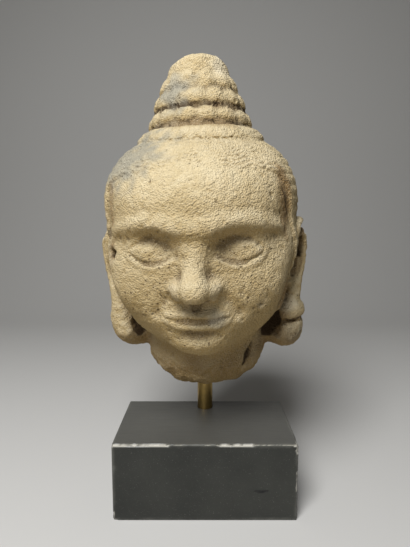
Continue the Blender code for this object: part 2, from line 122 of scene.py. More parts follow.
ROUGH_MASSES = (
    # centre and radii of the spheres that the head is blocked out from, a little outside the finished form
    ((0, 8, 14), (70, 77, 55)),
    ((30, 10, 30), (42, 64, 40)),
    ((0, -18, 26), (54, 52, 40)),
    ((0, 30, 36), (52, 50, 36)),
    ((0, -13, -14), (60, 54, 60)),
    ((0, -14, -36), (57, 50, 45)),
    ((0, -66, -12), (11, 15, 24)),
    ((0, -50, -46), (24, 16, 20)),
    ((0, 12, -30), (45, 44, 60)),
    ((0, 12, -80), (48.5, 44, 40)),
    ((61, 11, -32), (20, 23, 44)),
    ((57, 8, -71), (18, 16, 19)),
    ((0, KNOT_BACK, 82), (41, 41, 46)),
)

PITTED_PATCHES = (
    # strength, centre and radii of the patches where the stone is thick with small pits
    (1.0, (-30, -56, -30), (17, 16, 15)),
    (0.9, (37, -56, -24), (17, 16, 16)),
    (0.7, (0, -60, -54), (26, 16, 9)),
    (0.6, (27, -55, -2), (20, 20, 12)),
    (0.6, (-27, -55, -2), (20, 20, 12)),
    (1.0, (63, -3, -42), (9, 12, 8)),
    (1.0, (-60, -4, -66), (12, 10, 13)),
    (0.8, (62, -4, -72), (12, 10, 9)),
)

CHIPPED_EDGES = (
    # strength, centre and radii, in millimetres, of the stretches of the plinth's edges that are most chipped
    (1.0, (-41, -35, 54), (20, 4, 4)),
    (1.0, (21, -35, 54), (16, 4, 4)),
    (1.0, (62, -33, 52), (4, 8, 6)),
    (1.0, (62, -35, 29), (4, 5, 10)),
    (1.0, (-62, -35, 3), (5, 4, 5)),
)

# Path and radii, in millimetres, of a dark scratch on the plinth's front.
SCRATCH = (((33.8, -35.5, 21.2), (38, -35.5, 20.7), (42.2, -35.5, 21.4)), (0.4, 0.8, 0.5))
SCRATCH_COLOUR = (0.001, 0.001, 0.001)

CRUMBLED_PATCHES = (
    # strength, centre and radii of the patches where the surface has crumbled
    (1.0, (-59, -5, -66), (13, 9, 14)),
    (1.0, (63, -4, -42), (9, 12, 9)),
    (1.0, (62, -4, -74), (12, 8, 7)),
)

HOLES = (
    # path and radii of the deep hollows, painted near black as shade
    (((34.6, -16, -77.5), (31, -19, -85), (27.6, -20, -93.5)), (0.8, 2.6, 0.8)),
    (((34, -10, -79), (31, -11, -85), (28, -12, -92)), (1.0, 3.6, 1.0)),
    (((-54, -40, -4), (-54, -36, -6)), (2.0, 2.8)),
    (((-58, -32, 8), (-58, -26, 5)), (1.4, 1.6)),
    (((-48, -4, -50), (-49, -3, -63), (-51, -3, -73)), (3.5, 6.0, 3.5)),
    (((52, -5, -54), (50, -3, -64), (46, -3, -74)), (3.0, 7.5, 4.5)),
    (((70, 3, -2), (70, 3, -16)), (2.0, 2.4)),
    (((51, -38, 36), (54, -36, 28), (57, -33, 16)), (0.5, 1.1, 0.5)),
)

WORN_PATCHES = (
    # strength, centre and radii of the patches rubbed pale
    (1.0, (15, 8, 112), (8, 9, 9)),
    (1.0, (62, -5, -53), (9, 8, 7)),
)

GREY_PATCHES = (
    # strength, centre, radii, raggedness and shift of the edge's pattern, of the grey weathered patches
    (1.0, (-46, -18, 53), (32, 42, 23), 0.6, 0.0),
    (1.0, (-14, -4, 96), (13, 16, 14), 0.6, 3.0),
    (0.6, (13, -64, -42), (7, 8, 6), 0.5, 7.0),
    (0.6, (64, -4, -76), (11, 12, 9), 0.5, 5.0),
)

STAINED_AND_SHADED_PATCHES = (
    # strength, centre and radii of the patches darkened brown: earth left in them, and painted shade in the
    # recesses by the temples, in the ears, between the jaw and the knobs, under the topknot's ledge and in
    # the neck's slit
    (1.0, (54, -35, 27), (8, 9, 26)),
    (0.6, (-55, -38, 28), (5, 6, 24)),
    (0.9, (-48, -8, -62), (9, 14, 17)),
    (1.0, (49, -8, -65), (12, 14, 16)),
    (0.9, (68, -1, -8), (7, 9, 16)),
    (0.7, (66, 1, -24), (6, 8, 8)),
    (0.5, (10, -13, 75), (32, 12, 4)),
    (0.35, (16, -6, 86), (16, 12, 4)),
    (0.6, (31, -15, -85), (7, 9, 14)),
    (0.7, (-55, -38, -3), (5, 8, 9)),
    (0.8, (-54, -16, -38), (7, 20, 20)),
    (0.8, (56, -18, -38), (7, 22, 20)),
)

# Room round the rod in its two holes, in metres, and the sides of the round cutter that bores them.
ROD_ROOM = 0.0003
ROD_SIDES = 40

# Floor, lights and sky, in metres.
FLOOR_GAP = 0.0001
FLOOR_FRONT = 2.5
FLOOR_HALF_WIDTH = 3.0
FLOOR_BEND_START = 0.55
FLOOR_BEND = 0.5
KEY_PLACE = (-0.20, -0.55, 0.81)
KEY_SIZE = 0.40
FILL_PLACE = (-0.55, -0.95, 0.55)
FILL_SIZE = 0.7
SKY_COLOUR = (1.0, 0.97, 0.90, 1.0)

# How the carving is worked out: a distance beyond reach, how far past its own box a stroke counts, the step
# for slopes, and the halvings that find the front surface.
FAR = 60.0
STROKE_REACH = 3.0
SLOPE_STEP = 0.05
HALVINGS = 22


def join(one, other, soft):
    """Union of two distances, with the inner corner filled over the width soft."""
    overlap = np.maximum(soft - np.abs(one - other), 0.0) / soft
    return np.minimum(one, other) - overlap * overlap * soft / 4.0


class Ball:
    """An ellipsoid, turned about its upright axis, and drawn out into a post where a top is given."""

    def __init__(self, centre, radii, turn=0.0, top=None):
        self.centre = np.array(centre, float)
        self.radii = np.array(radii, float)
        self.turn = turn
        self.rise = 0.0 if top is None else top - centre[2]
        spread = np.array((self.radii[:2].max(), self.radii[:2].max(), self.radii[2]))
        self.low = self.centre - spread
        self.high = self.centre + spread + np.array((0.0, 0.0, self.rise))

    def distance(self, points):
        away = points - self.centre
        away[:, 2] -= np.clip(away[:, 2], 0.0, self.rise)
        cosine, sine = math.cos(self.turn), math.sin(self.turn)
        across = cosine * away[:, 0] + sine * away[:, 1]
        away[:, 1] = cosine * away[:, 1] - sine * away[:, 0]
        away[:, 0] = across
        away /= self.radii
        reach = np.sqrt((away * away).sum(1))
        away /= self.radii
        slope = np.sqrt((away * away).sum(1))
        return reach * (reach - 1.0) / np.maximum(slope, 1e-6)


class Strand:
    """A round strand along a path, whose radius runs evenly from point to point."""

    def __init__(self, path, radii):
        self.path = np.array(path, float)
        self.radii = np.array(radii, float)
        self.low = (self.path - self.radii[:, None]).min(0)
        self.high = (self.path + self.radii[:, None]).max(0)

    def distance(self, points):
        best = np.full(len(points), FAR)
        for start, end, first, last in zip(self.path[:-1], self.path[1:], self.radii[:-1], self.radii[1:]):
            along = end - start
            share = np.clip((points - start) @ along / (along @ along), 0.0, 1.0)
            away = points - start - share[:, None] * along
            best = np.minimum(best, np.sqrt((away * away).sum(1)) - first - (last - first) * share)
        return best


class Nose:
    """The ridge, tip and wings of the nose, cut level underneath."""

    low = np.array((0.0, -90.0, -36.0))
    high = np.array((22.0, -50.0, 22.0))

    def __init__(self):
        ridge = ((0, -58.0, 12), (0, -61.0, 2), (0, -66.0, -10), (0, -70.5, -20))
        self.ridge = Strand(ridge, (6.5, 6.0, 6.6, 8.0))
        self.tip = Ball((0, -71.0, -22.0), (9.0, 9.5, 8.5))
        self.wing = Ball((10.2, -64.0, -23.5), (6.0, 9.0, 6.4))

    def distance(self, points):
        whole = join(self.ridge.distance(points), self.tip.distance(points), 4.0)
        whole = join(whole, self.wing.distance(points), 4.0)
        slant = 0.12 * (points[:, 1] + 70.0)
        return -join(-whole, points[:, 2] - NOSE_BASE + slant, 2.5)


class Turned:
    """A round form on an upright axis, given as heights and radii, with its top edge rounded.

    A lean raises its front by that much for each step in front of the axis.
    """

    def __init__(self, side, back, soft, lean=0.0):
        self.heights, self.radii = np.array(side).T
        self.back, self.soft, self.lean = back, soft, lean
        widest = self.radii.max()
        self.low = np.array((0.0, back - widest, self.heights[0] - lean * widest))
        self.high = np.array((widest, back + widest, self.heights[-1] + lean * widest))

    def distance(self, points):
        back = points[:, 1] - self.back
        away, up = np.hypot(points[:, 0], back), points[:, 2] + self.lean * back
        side = (away - np.interp(up, self.heights, self.radii)) * 0.9
        return -join(-side, self.heights[-1] - up, self.soft)


class Petals:
    """One ring of rounded petals that stand side by side on a round bead, all drooping outwards."""

    def __init__(self, height, radius, petals, odd):
        self.height, self.radius, self.petals, self.odd = height, radius, petals, odd
        droop = PETAL_DROOP * PETAL_PROUD
        rise = PETAL_HALF_HEIGHT + KNOT_LEAN * radius
        self.low = np.array((0.0, KNOT_BACK - radius, height - rise - droop))
        self.high = np.array((radius, KNOT_BACK + radius, height + rise))
        half_width = radius * math.sin(math.pi / petals) * 1.15
        self.petal = Ball((0.0, radius - PETAL_PROUD, height), (half_width, PETAL_PROUD, PETAL_HALF_HEIGHT))

    def distance(self, points):
        back = points[:, 1] - KNOT_BACK
        away, turn = np.hypot(points[:, 0], back), np.arctan2(points[:, 0], -back)
        up = points[:, 2] + KNOT_LEAN * back + PETAL_DROOP * (away - self.radius + PETAL_PROUD)
        squash = PETAL_PROUD / PETAL_HALF_HEIGHT
        bead = np.hypot(away - self.radius + PETAL_PROUD, (up - self.height) * squash)
        bead += PETAL_DIP - PETAL_PROUD
        sector = 2.0 * math.pi / self.petals
        turn = np.mod(turn + sector * (0.5 if self.odd else 1.0), sector) - sector / 2.0
        folded = np.stack([away * np.sin(turn), away * np.cos(turn), up], axis=1)
        return join(bead, self.petal.distance(folded), 0.8)


class Carving:
    """A form worked up in strokes, each adding or taking away a shape with a soft edge.

    Its sides are alike, so a stroke's shape stands on the +X side alone. Scars and bumps are on one side.
    """

    def __init__(self, first):
        self.first = first
        self.strokes = []
        self.scars = []

    def add(self, shape, soft):
        self.strokes.append((1.0, shape, soft))

    def take(self, shape, soft):
        self.strokes.append((-1.0, shape, soft))

    def scar(self, shape, soft):
        self.scars.append((-1.0, shape, soft))

    def bump(self, shape, soft):
        self.scars.append((1.0, shape, soft))

    def distance(self, points):
        folded = points.copy()
        folded[:, 0] = np.abs(folded[:, 0])
        total = self.first.distance(folded)
        for places, strokes in ((folded, self.strokes), (points, self.scars)):
            for sign, shape, soft in strokes:
                reach = soft + STROKE_REACH
                inside = (places > shape.low - reach) & (places < shape.high + reach)
                near = np.flatnonzero(inside.all(axis=1))
                if len(near):
                    total[near] = sign * join(sign * total[near], shape.distance(places[near]), soft)
        return total

    def measure(self, points):
        """The distance and its slope at each point, from four places close round it."""
        corners = np.array(((1, -1, -1), (-1, -1, 1), (-1, 1, -1), (1, 1, 1))) * SLOPE_STEP
        values = [self.distance(points + corner) for corner in corners]
        slope = sum(value[:, None] * corner for value, corner in zip(values, corners))
        return sum(values) / 4.0, slope / (4.0 * SLOPE_STEP**2)

    def on_front(self, across, up, sunk):
        """Points along a line drawn on the front surface, each sunk below it."""
        across, up = np.broadcast_arrays(np.asarray(across, float), np.asarray(up, float))
        outside = np.full(across.shape, -110.0)
        inside = np.full(across.shape, -10.0)
        for _ in range(HALVINGS):
            middle = (outside + inside) / 2.0
            clear = self.distance(np.stack([across, middle, up], axis=1)) > 0.0
            outside = np.where(clear, middle, outside)
            inside = np.where(clear, inside, middle)
        return np.stack([across, inside + sunk, up], axis=1)


def bow(start, end, middle, count=9):
    """Across and up along a bowed line between two corners, whose middle lies at that height."""
    share = np.linspace(0.0, 1.0, count)
    across = start[0] + (end[0] - start[0]) * share
    chord = start[1] + (end[1] - start[1]) * share
    rise = middle - (start[1] + end[1]) / 2.0
    return across, chord + rise * 4.0 * share * (1.0 - share)


def swelling(count, ends, middle):
    """Radii that swell from the ends of a strand to its middle."""
    share = np.linspace(0.0, 1.0, count)
    return ends + (middle - ends) * np.sin(math.pi * share)


def carve_skull(head):
    """The broad crown, the forehead and the back of the skull."""
    head.add(Ball((26, 10, 29), (39, 60, 36)), 12.0)
    head.add(Ball((0, -18, 24), (50, 48, 36)), 14.0)
    head.add(Ball((0, 30, 34), (48, 46, 33)), 14.0)


def carve_masses(head):
    """The cheeks, jaw and chin, and the stump of the neck with its rounded break."""
    head.add(Ball((0, -12, -14), (57, 51, 57)), 16.0)
    head.add(Ball((0, -13, -35), (56, 46.5, 41.5)), 10.0)
    head.add(Ball((49, -18, -6), (12, 22, 14)), 12.0)
    head.add(Ball((33, -38, -22), (21, 17, 20)), 14.0)
    head.add(Ball((0, -45, -42), (28, 16, 17)), 12.0)
    head.add(Ball((0, -44, -58), (19, 16, 13)), 10.0)
    head.add(Ball((0, 12, -87.5), (45.0, 42, 30), top=-10), 12.0)


def carve_brow(head):
    """A low continuous ridge from the root of the nose to the temple."""
    across = np.array((2.0, 10.0, 19.0, 28.0, 37.0, 45.0, 51.0))
    rise = BROW_LINE + 2.6 - np.where(across < 27.0, 0.004, 0.010) * (across - 27.0) ** 2
    radii = np.array((4.0, 4.6, 4.8, 4.6, 4.2, 3.6, 3.0))
    proud = np.array((1.0, 1.5, 1.7, 1.6, 1.3, 1.0, 0.3))
    head.add(Strand(head.on_front(across, rise, radii - proud), radii), 5.0)


def carve_eyes(head):
    """Sunk sockets, closed lids over the ball of the eye, the crease above and the line where they meet."""
    middle = EYE_SPACING / 2.0
    inner, outer = middle - EYE_ACROSS / 2.0, middle + EYE_ACROSS / 2.0
    head.take(Ball((middle + 1, -67.5, EYE_LINE + 0.5), (17, 11.0, 10.5)), 8.0)
    head.add(Ball((middle, -46.0, EYE_LINE - 2), (16, 13.5, 11)), 3.0)
    across, crease = bow((inner, 0.5), (outer + 1, 0.0), 6.4)
    head.take(Strand(head.on_front(across, crease, -0.5), swelling(9, 0.5, 1.3)), 1.5)
    across, lash = bow((inner - 0.5, -3.0), (outer + 1, -2.0), -8.0)
    upper = head.on_front(across, lash + 1.7, 1.2)
    head.add(Strand(upper, swelling(9, 0.8, 1.8)), 1.5)
    lower = head.on_front(across, lash - 2.8, 1.0)
    head.add(Strand(lower, swelling(9, 0.8, 2.0)), 2.5)
    head.take(Strand(head.on_front(across, lash, 0.0), swelling(9, 0.5, 1.1)), 1.2)


def carve_nose(head):
    """The nose, its nostrils and the furrow down to the lip."""
    head.add(Nose(), 5.0)
    head.take(Ball((6.4, -69.0, NOSE_BASE - 0.4), (3.0, 4.2, 3.0)), 1.5)
    furrow = head.on_front((0.0, 0.0), (NOSE_BASE - 3.0, MOUTH_LINE + 7.0), -1.2)
    head.take(Strand(furrow, (1.8, 2.4)), 2.5)


def carve_mouth(head):
    """Full closed lips that lift a little at the corners, and the hollow over the chin."""
    corner = 23.0
    share = np.linspace(0.0, 1.0, 9)
    across = corner * share
    peak = 0.9 * np.exp(-(((across - 4.5) / 3.0) ** 2))
    seam = MOUTH_LINE + 2.6 * share**2.4
    upper = head.on_front(across, seam + 2.5 * (1 - share**2) + 0.7 + peak, 1.6)
    lower = head.on_front(across, seam - 3.4 * (1 - share**2) - 0.9, 1.7)
    head.add(Strand(upper, 1.2 + 2.4 * (1 - share**1.8)), 2.0)
    head.add(Strand(lower, 1.2 + 3.1 * (1 - share**1.8)), 2.0)
    line = head.on_front(across, seam, 0.0)
    head.take(Strand(line, 0.95 - 0.4 * share), 1.0)
    head.take(Ball((corner + 1.5, line[-1, 1] - 1.5, seam[-1]), (3.0, 3.0, 3.5)), 3.0)
    hollow = head.on_front((0.0, 6.0, 12.0), (MOUTH_LINE - 11.5,) * 3, -3.1)
    head.take(Strand(hollow, (4.0, 3.6, 2.4)), 5.0)
    fold = head.on_front((15.5, 21.0, 26.5), (NOSE_BASE + 3.0, NOSE_BASE - 3.0, NOSE_BASE - 10.0), -1.6)
    head.take(Strand(fold, (2.0, 2.4, 2.0)), 4.5)


def on_ear(along, out, up):
    """A place given as back along the ear, out from it, and up."""
    return (
        EAR_ROOT[0] + along * math.sin(EAR_FLARE) + out * math.cos(EAR_FLARE),
        EAR_ROOT[1] + along * math.cos(EAR_FLARE) - out * math.sin(EAR_FLARE),
        up,
    )


def carve_ears(head):
    """A flared shell with a rolled rim, and a long lobe that ends in a knob, on stone left behind them."""
    head.add(Ball((52, 17, -38), (14, 15, 46)), 12.0)
    head.add(Ball(on_ear(10, -3.5, -20), (6, 13, 24), turn=-EAR_FLARE), 4.0)
    rim_radii = (2.6, 2.9, 3.2, 3.3, 3.3, 3.3, 3.3, 3.4, 3.6)
    head.add(Strand([on_ear(*place) for place in EAR_RIM], rim_radii), 1.6)
    head.take(Ball(on_ear(9, 4.0, -20), (4.5, 7.5, 13), turn=-EAR_FLARE), 1.5)
    head.add(Strand([on_ear(*place) for place in EAR_FOLD], (1.4, 2.0, 2.2, 2.0, 1.4)), 1.2)
    head.add(Strand([on_ear(*place) for place in EAR_LOBE], (4.2, 5.6, 7.0, 8.5)), 4.0)
    head.add(Ball((57, 8, -71), (15, 13, 16.5)), 8.0)


def carve_topknot(head):
    """Rings of petals round a cone that stands on a low plain ledge."""
    head.add(Turned(LEDGE_SIDE, LEDGE_BACK, 2.0), 2.5)
    head.add(Turned(KNOT_CORE, KNOT_BACK, 7.0, KNOT_LEAN), 2.0)
    for ring, (height, radius, petals) in enumerate(KNOT_TIERS):
        head.add(Petals(height, radius, petals, ring % 2), 1.2)
    for height, radius, thickness in UNDERCUTS:
        carve_undercut(head, height, radius, thickness)


def carve_undercut(head, height, radius, thickness):
    """A groove that runs round the topknot under a ring of petals."""
    turn = np.linspace(0.0, math.pi, 13)
    back = -radius * np.cos(turn)
    path = np.stack([radius * np.sin(turn), KNOT_BACK + back, height - KNOT_LEAN * back], axis=1)
    head.take(Strand(path, np.full(len(turn), thickness)), 0.8)


def carve_scars(head):
    """The topknot's worn shoulder and front, the marks of the knobs and ears, pits and the neck's slit."""
    head.scar(Ball((-24, KNOT_BACK - 4, 130), (22, 30, 13)), 4.0)
    head.scar(Ball((-2, -25, 106), (28, 21, 13)), 2.5)
    head.bump(Ball((64, 1, -57), (10.5, 9, 8)), 3.0)
    head.bump(Ball((61, 4, -72), (12.5, 11, 16.5)), 4.0)
    head.bump(Ball((67, -6, 3.5), (7, 7, 6.5)), 4.0)
    head.bump(Ball((-61, 3, -61), (10.5, 10, 15)), 6.0)
    head.scar(Strand(((46, -5, -62), (56, -8, -64), (66, -5, -64), (73, 3, -63)), (1.8, 2.2, 2.4, 2.0)), 2.0)
    head.scar(Ball((49, -9, -65), (8, 10, 13)), 2.5)
    head.scar(Ball((-49, -9, -62), (6.5, 11, 14)), 2.5)
    head.scar(Ball((-58.5, -31, 7), (1.6, 5, 3.5)), 0.8)
    head.scar(Ball((-55, -40, -5), (3, 6, 3.5)), 0.8)
    head.scar(Ball((68.5, -2, -8), (5, 7, 13)), 2.0)
    for place in ((39, -53.5, -36), (35, -55.5, -38), (-25, -60.5, -21), (19, -26.5, -91)):
        head.scar(Ball(place, (1.3, 2.2, 1.5)), 0.5)
    head.scar(Strand(((34, -15, -78), (31, -17, -85), (28, -18, -93)), (1.0, 2.6, 1.0)), 0.6)
    head.scar(Strand(((34, -10, -79), (31, -11, -85), (28, -12, -92)), (1.0, 2.4, 1.0)), 0.6)


def carved_head():
    """The whole head as a distance that is zero on its surface."""
    head = Carving(Ball((0, 8, 14), (63.5, 74, 52)))
    for carve in (
        carve_skull, carve_masses, carve_brow, carve_eyes, carve_nose, carve_mouth, carve_ears,
        carve_topknot, carve_scars,
    ):
        carve(head)
    return head


def smooth_step(value, low, high):
    """0 below low, 1 above high, and even in between."""
    share = np.clip((value - low) / (high - low), 0.0, 1.0)
    return share * share * (3.0 - 2.0 * share)


def hair_cover(points):
    """1 on the hair and 0 on the face, ears, neck and topknot."""
    across, back, up = points.T
    forehead = up - (HAIR_LINE - 0.0022 * across**2)
    temple = back + 30.0 + 0.12 * (up - 20.0)
    inside = -join(-forehead, -temple, 10.0)
    nape = up + 52.0
    ear = np.hypot((back - 8.0) / 22.0, (up + 24.0) / 36.0) - 1.0
    shell = np.where(np.abs(across) > 50.0, ear * 22.0, 20.0)
    return smooth_step(inside, -0.8, 1.2) * smooth_step(nape, -2.0, 4.0) * smooth_step(shell, -1.0, 3.0)


def hair_relief(points):
    """Rows of flat curls round the crown, and combed waves at its front, from 0 in the grooves to 1."""
    away = points - np.array(CROWN)
    reach = np.linalg.norm(away, axis=1)
    dip = np.arccos(np.clip(away[:, 2] / reach, -1.0, 1.0))
    turn = np.arctan2(away[:, 0], -away[:, 1])
    row = dip * HAIR_BALL / HAIR_ROW
    index = np.floor(row)
    round_row = 2.0 * math.pi * HAIR_BALL * np.sin((index + 0.5) * HAIR_ROW / HAIR_BALL)
    curls = np.maximum(np.round(round_row / HAIR_CURL), 6.0)
    along = turn / (2.0 * math.pi) * curls + 0.5 * np.mod(index, 2.0)
    over_row = 1.0 - (2.0 * (row - index) - 1.0) ** 2
    over_curl = 1.0 - (2.0 * (along - np.floor(along)) - 1.0) ** 2
    curls = np.sqrt(np.clip(over_row, 0, 1)) * (0.5 + 0.5 * np.sqrt(np.clip(over_curl, 0, 1)))
    wave = dip * HAIR_BALL / WAVE_ROW + 0.45 * np.sin(turn * WAVES_ROUND + 2.0 * noise_at(points, 22.0))
    combed = 0.60 + 0.75 * np.cos(2.0 * math.pi * wave)
    front = smooth_step(-points[:, 1], 5.0, 22.0) * smooth_step(-np.abs(points[:, 0]), -52.0, -42.0)
    relief = curls + front * (combed - curls)
    return relief + smooth_step(points[:, 2], 70.0, 74.0) * (0.6 - relief)


def hair_rise(points):
    """How far the hair stands over the skin: well at the temples, and worn away over the forehead."""
    return HAIR_RISE * (0.35 + 1.15 * smooth_step(np.abs(points[:, 0]), 30.0, 52.0))


def noise_at(points, size, shift=0.0):
    """Smooth noise from -1 to 1, whose lumps are about that many steps apart."""
    return np.array([noise.noise(place) for place in points / size + shift])


def pits_at(points, spacing, share, shift):
    """Round pits, 1 at the bottom of each: one in that share of cells that are spacing steps wide."""
    depth = np.zeros(len(points))
    for index, place in enumerate(points / spacing + shift):
        gaps, cells = noise.voronoi(place)
        chance = noise.cell(cells[0] * 17.3)
        if chance < share[index]:
            reach = 0.22 + 0.22 * noise.cell(cells[0] * 7.1 + Vector((3, 1, 2)))
            depth[index] = max(0.0, 1.0 - gaps[0] / reach)
    return depth**0.7


def near_patch(points, centre, radii, ragged, shift=0.0):
    """1 inside a patch with a ragged edge and 0 outside."""
    reach = np.linalg.norm((points - np.array(centre)) / np.array(radii), axis=1)
    return smooth_step(1.0 - reach + ragged * noise_at(points, 7.0, shift), -0.30, 0.60)


def strongest_patch(points, patches, ragged, axis):
    """The most that a table's patches give each point, with that axis of each centre to vary its edge."""
    most = np.zeros(len(points))
    for strength, centre, radii in patches:
        most = np.maximum(most, strength * near_patch(points, centre, radii, ragged, centre[axis]))
    return most


def head_turn():
    """The way the head leans: forward, to one side, and a little round."""
    yaw = Matrix.Rotation(HEAD_YAW, 3, "Z")
    roll = Matrix.Rotation(HEAD_ROLL, 3, "Y")
    pitch = Matrix.Rotation(HEAD_PITCH, 3, "X")
    return np.array(yaw @ roll @ pitch)


class Placing:
    """Turns grid steps into the frame's metres and back, so that the carved points fill the head's node."""

    def __init__(self, points):
        self.turn = head_turn()
        up = points @ self.turn[2]
        self.step = (HEAD_HIGH.z - HEAD_LOW.z) / (up.max() - up.min())
        self.offset = np.array((
            ROD_MIDDLE.x - HEAD_LEFT_OF_ROD * self.step,
            ROD_MIDDLE.y - HEAD_BEFORE_ROD * self.step,
            HEAD_LOW.z - up.min() * self.step,
        ))

    def to_frame(self, points):
        return points @ self.turn.T * self.step + self.offset

    def to_grid(self, places):
        return (places - self.offset) / self.step @ self.turn


def mesh_points(mesh):
    """The mesh's points as rows of three."""
    points = np.empty(len(mesh.vertices) * 3)
    mesh.vertices.foreach_get("co", points)
    return points.reshape(-1, 3)


def mesh_edges(mesh):
    """The mesh's edges as pairs of point numbers."""
    edges = np.empty(len(mesh.edges) * 2, int)
    mesh.edges.foreach_get("vertices", edges)
    return edges.reshape(-1, 2)


def set_points(mesh, points):
    """Gives the mesh its points' new places."""
    mesh.vertices.foreach_set("co", points.ravel())
    mesh.update()


def neighbours_mean(values, edges):
    """The mean of each point's neighbours, of rows of values."""
    count = np.maximum(np.bincount(edges.ravel(), minlength=len(values)), 1)[:, None]
    total = np.zeros_like(values)
    for column in range(values.shape[1]):
        total[:, column] += np.bincount(edges[:, 0], values[edges[:, 1], column], len(values))
        total[:, column] += np.bincount(edges[:, 1], values[edges[:, 0], column], len(values))
    return total / count


def cut_back(form, points, rounds):
    """The points moved along the form's slope until they lie on it."""
    for _ in range(rounds):
        distance, slope = form.measure(points)
        steepness = np.maximum(np.linalg.norm(slope, axis=1), 1e-6)
        move = distance / np.clip(steepness, 0.3, 1.5)
        points = points - slope * (np.clip(move, -6.0, 6.0) / steepness)[:, None]
    return points


def carve_to(form, points, edges):
    """Cuts rough points back to the form, evenly spread, and gives them with the way out of the stone."""
    for _ in range(4):
        points = cut_back(form, points, 1)
        points += 0.5 * (neighbours_mean(points, edges) - points)
    points = cut_back(form, points, 3)
    _, slope = form.measure(points)
    return points, slope / np.maximum(np.linalg.norm(slope, axis=1), 1e-6)[:, None]


def store(mesh, name, values):
    """Keeps one number for each point as an attribute that materials read."""
    layer = mesh.attributes.new(name, "FLOAT", "POINT")
    layer.data.foreach_set("value", np.clip(values, 0.0, 1.0).astype(np.float32))


def deselect_all():
    """Leaves nothing selected and nothing in edit mode."""
    if bpy.context.object and bpy.context.object.mode != "OBJECT":
        bpy.ops.object.mode_set(mode="OBJECT")
    bpy.ops.object.select_all(action="DESELECT")


def apply_modifier(thing, kind, **settings):
    """Adds a modifier with these settings and applies it."""
    bpy.context.view_layer.objects.active = thing
    modifier = thing.modifiers.new(kind.lower(), kind)
    for name, value in settings.items():
        setattr(modifier, name, value)
    bpy.ops.object.modifier_apply(modifier=modifier.name)


def drill_for_rod(thing, low, high):
    """Bores a hole round the rod's axis between two heights."""
    deselect_all()
    bpy.ops.mesh.primitive_cylinder_add(
        vertices=ROD_SIDES, radius=ROD_RADIUS + ROD_ROOM, depth=high - low,
        location=(ROD_MIDDLE.x, ROD_MIDDLE.y, (low + high) / 2.0),
    )
    cutter = bpy.context.object
    deselect_all()
    thing.select_set(True)
    apply_modifier(thing, "BOOLEAN", operation="DIFFERENCE", object=cutter)
    bpy.data.objects.remove(cutter)


def finish_piece(piece, name, material, node):
    """Names a piece, gives it its material, and has it ride in place of its node."""
    piece.name = name
    piece.data.name = name
    piece.data.materials.clear()
    piece.data.materials.append(material)
    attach(piece, "root")
    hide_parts(node)


def new_material(name):
    """An empty node material with its Principled BSDF and output joined up."""
    material = bpy.data.materials.new(name)
    material.use_nodes = True
    tree = material.node_tree
    return material, tree, tree.nodes["Principled BSDF"]


def add_node(tree, kind, inputs=None, **settings):
    """A node with its settings, whose inputs take a value or the socket that feeds them."""
    node = tree.nodes.new(kind)
    for name, value in settings.items():
        setattr(node, name, value)
    for name, value in (inputs or {}).items():
        if isinstance(value, bpy.types.NodeSocket):
            tree.links.new(value, node.inputs[name])
        else:
            node.inputs[name].default_value = value
    return node


def maths(tree, operation, first, second=0.0, third=0.0):
    """The result of a Math node."""
    return add_node(tree, "ShaderNodeMath", {0: first, 1: second, 2: third}, operation=operation).outputs[0]


def blend(tree, share, first, second, mode="MIX"):
    """The colour that a Mix node gives."""
    first = (*first, 1.0) if isinstance(first, (tuple, list)) and len(first) == 3 else first
    second = (*second, 1.0) if isinstance(second, (tuple, list)) and len(second) == 3 else second
    node = tree.nodes.new("ShaderNodeMix")
    node.data_type = "RGBA"
    node.blend_type = mode
    for index, value in ((0, share), (6, first), (7, second)):
        if isinstance(value, bpy.types.NodeSocket):
            tree.links.new(value, node.inputs[index])
        else:
            node.inputs[index].default_value = value
    return node.outputs[2]


def lay_over(tree, colour, layers):
    """The colour with others laid over it in turn, each given as mask, strength and colour."""
    for mask, strength, over in layers:
        colour = blend(tree, maths(tree, "MULTIPLY", mask, strength), colour, tuple(over))
    return colour


def upward(tree):
    """How far the surface faces up, from -1 to 1."""
    normal = tree.nodes.new("ShaderNodeNewGeometry").outputs["Normal"]
    return add_node(tree, "ShaderNodeSeparateXYZ", {0: normal}).outputs["Z"]


def spread(tree, value, low, high, first=0.0, last=1.0):
    """The value drawn out so that low to high becomes first to last, and held there."""
    node = add_node(tree, "ShaderNodeMapRange", {
        "Value": value, "From Min": low, "From Max": high, "To Min": first, "To Max": last,
    })
    return node.outputs["Result"]


def place_of(tree):
    """Object coordinates."""
    return tree.nodes.new("ShaderNodeTexCoord").outputs["Object"]


def attribute(tree, name):
    """A number kept for each point of the mesh."""
    return add_node(tree, "ShaderNodeAttribute", attribute_name=name).outputs["Fac"]


def new_group(name, inputs, outputs):
    """A shader node group with named inputs, each with its default, and named outputs."""
    group = bpy.data.node_groups.new(name, "ShaderNodeTree")
    for label, kind, default in inputs:
        socket = group.interface.new_socket(name=label, in_out="INPUT", socket_type=kind)
        if default is not None:
            socket.default_value = default
    for label, kind in outputs:
        group.interface.new_socket(name=label, in_out="OUTPUT", socket_type=kind)
    return group, group.nodes.new("NodeGroupInput"), group.nodes.new("NodeGroupOutput")


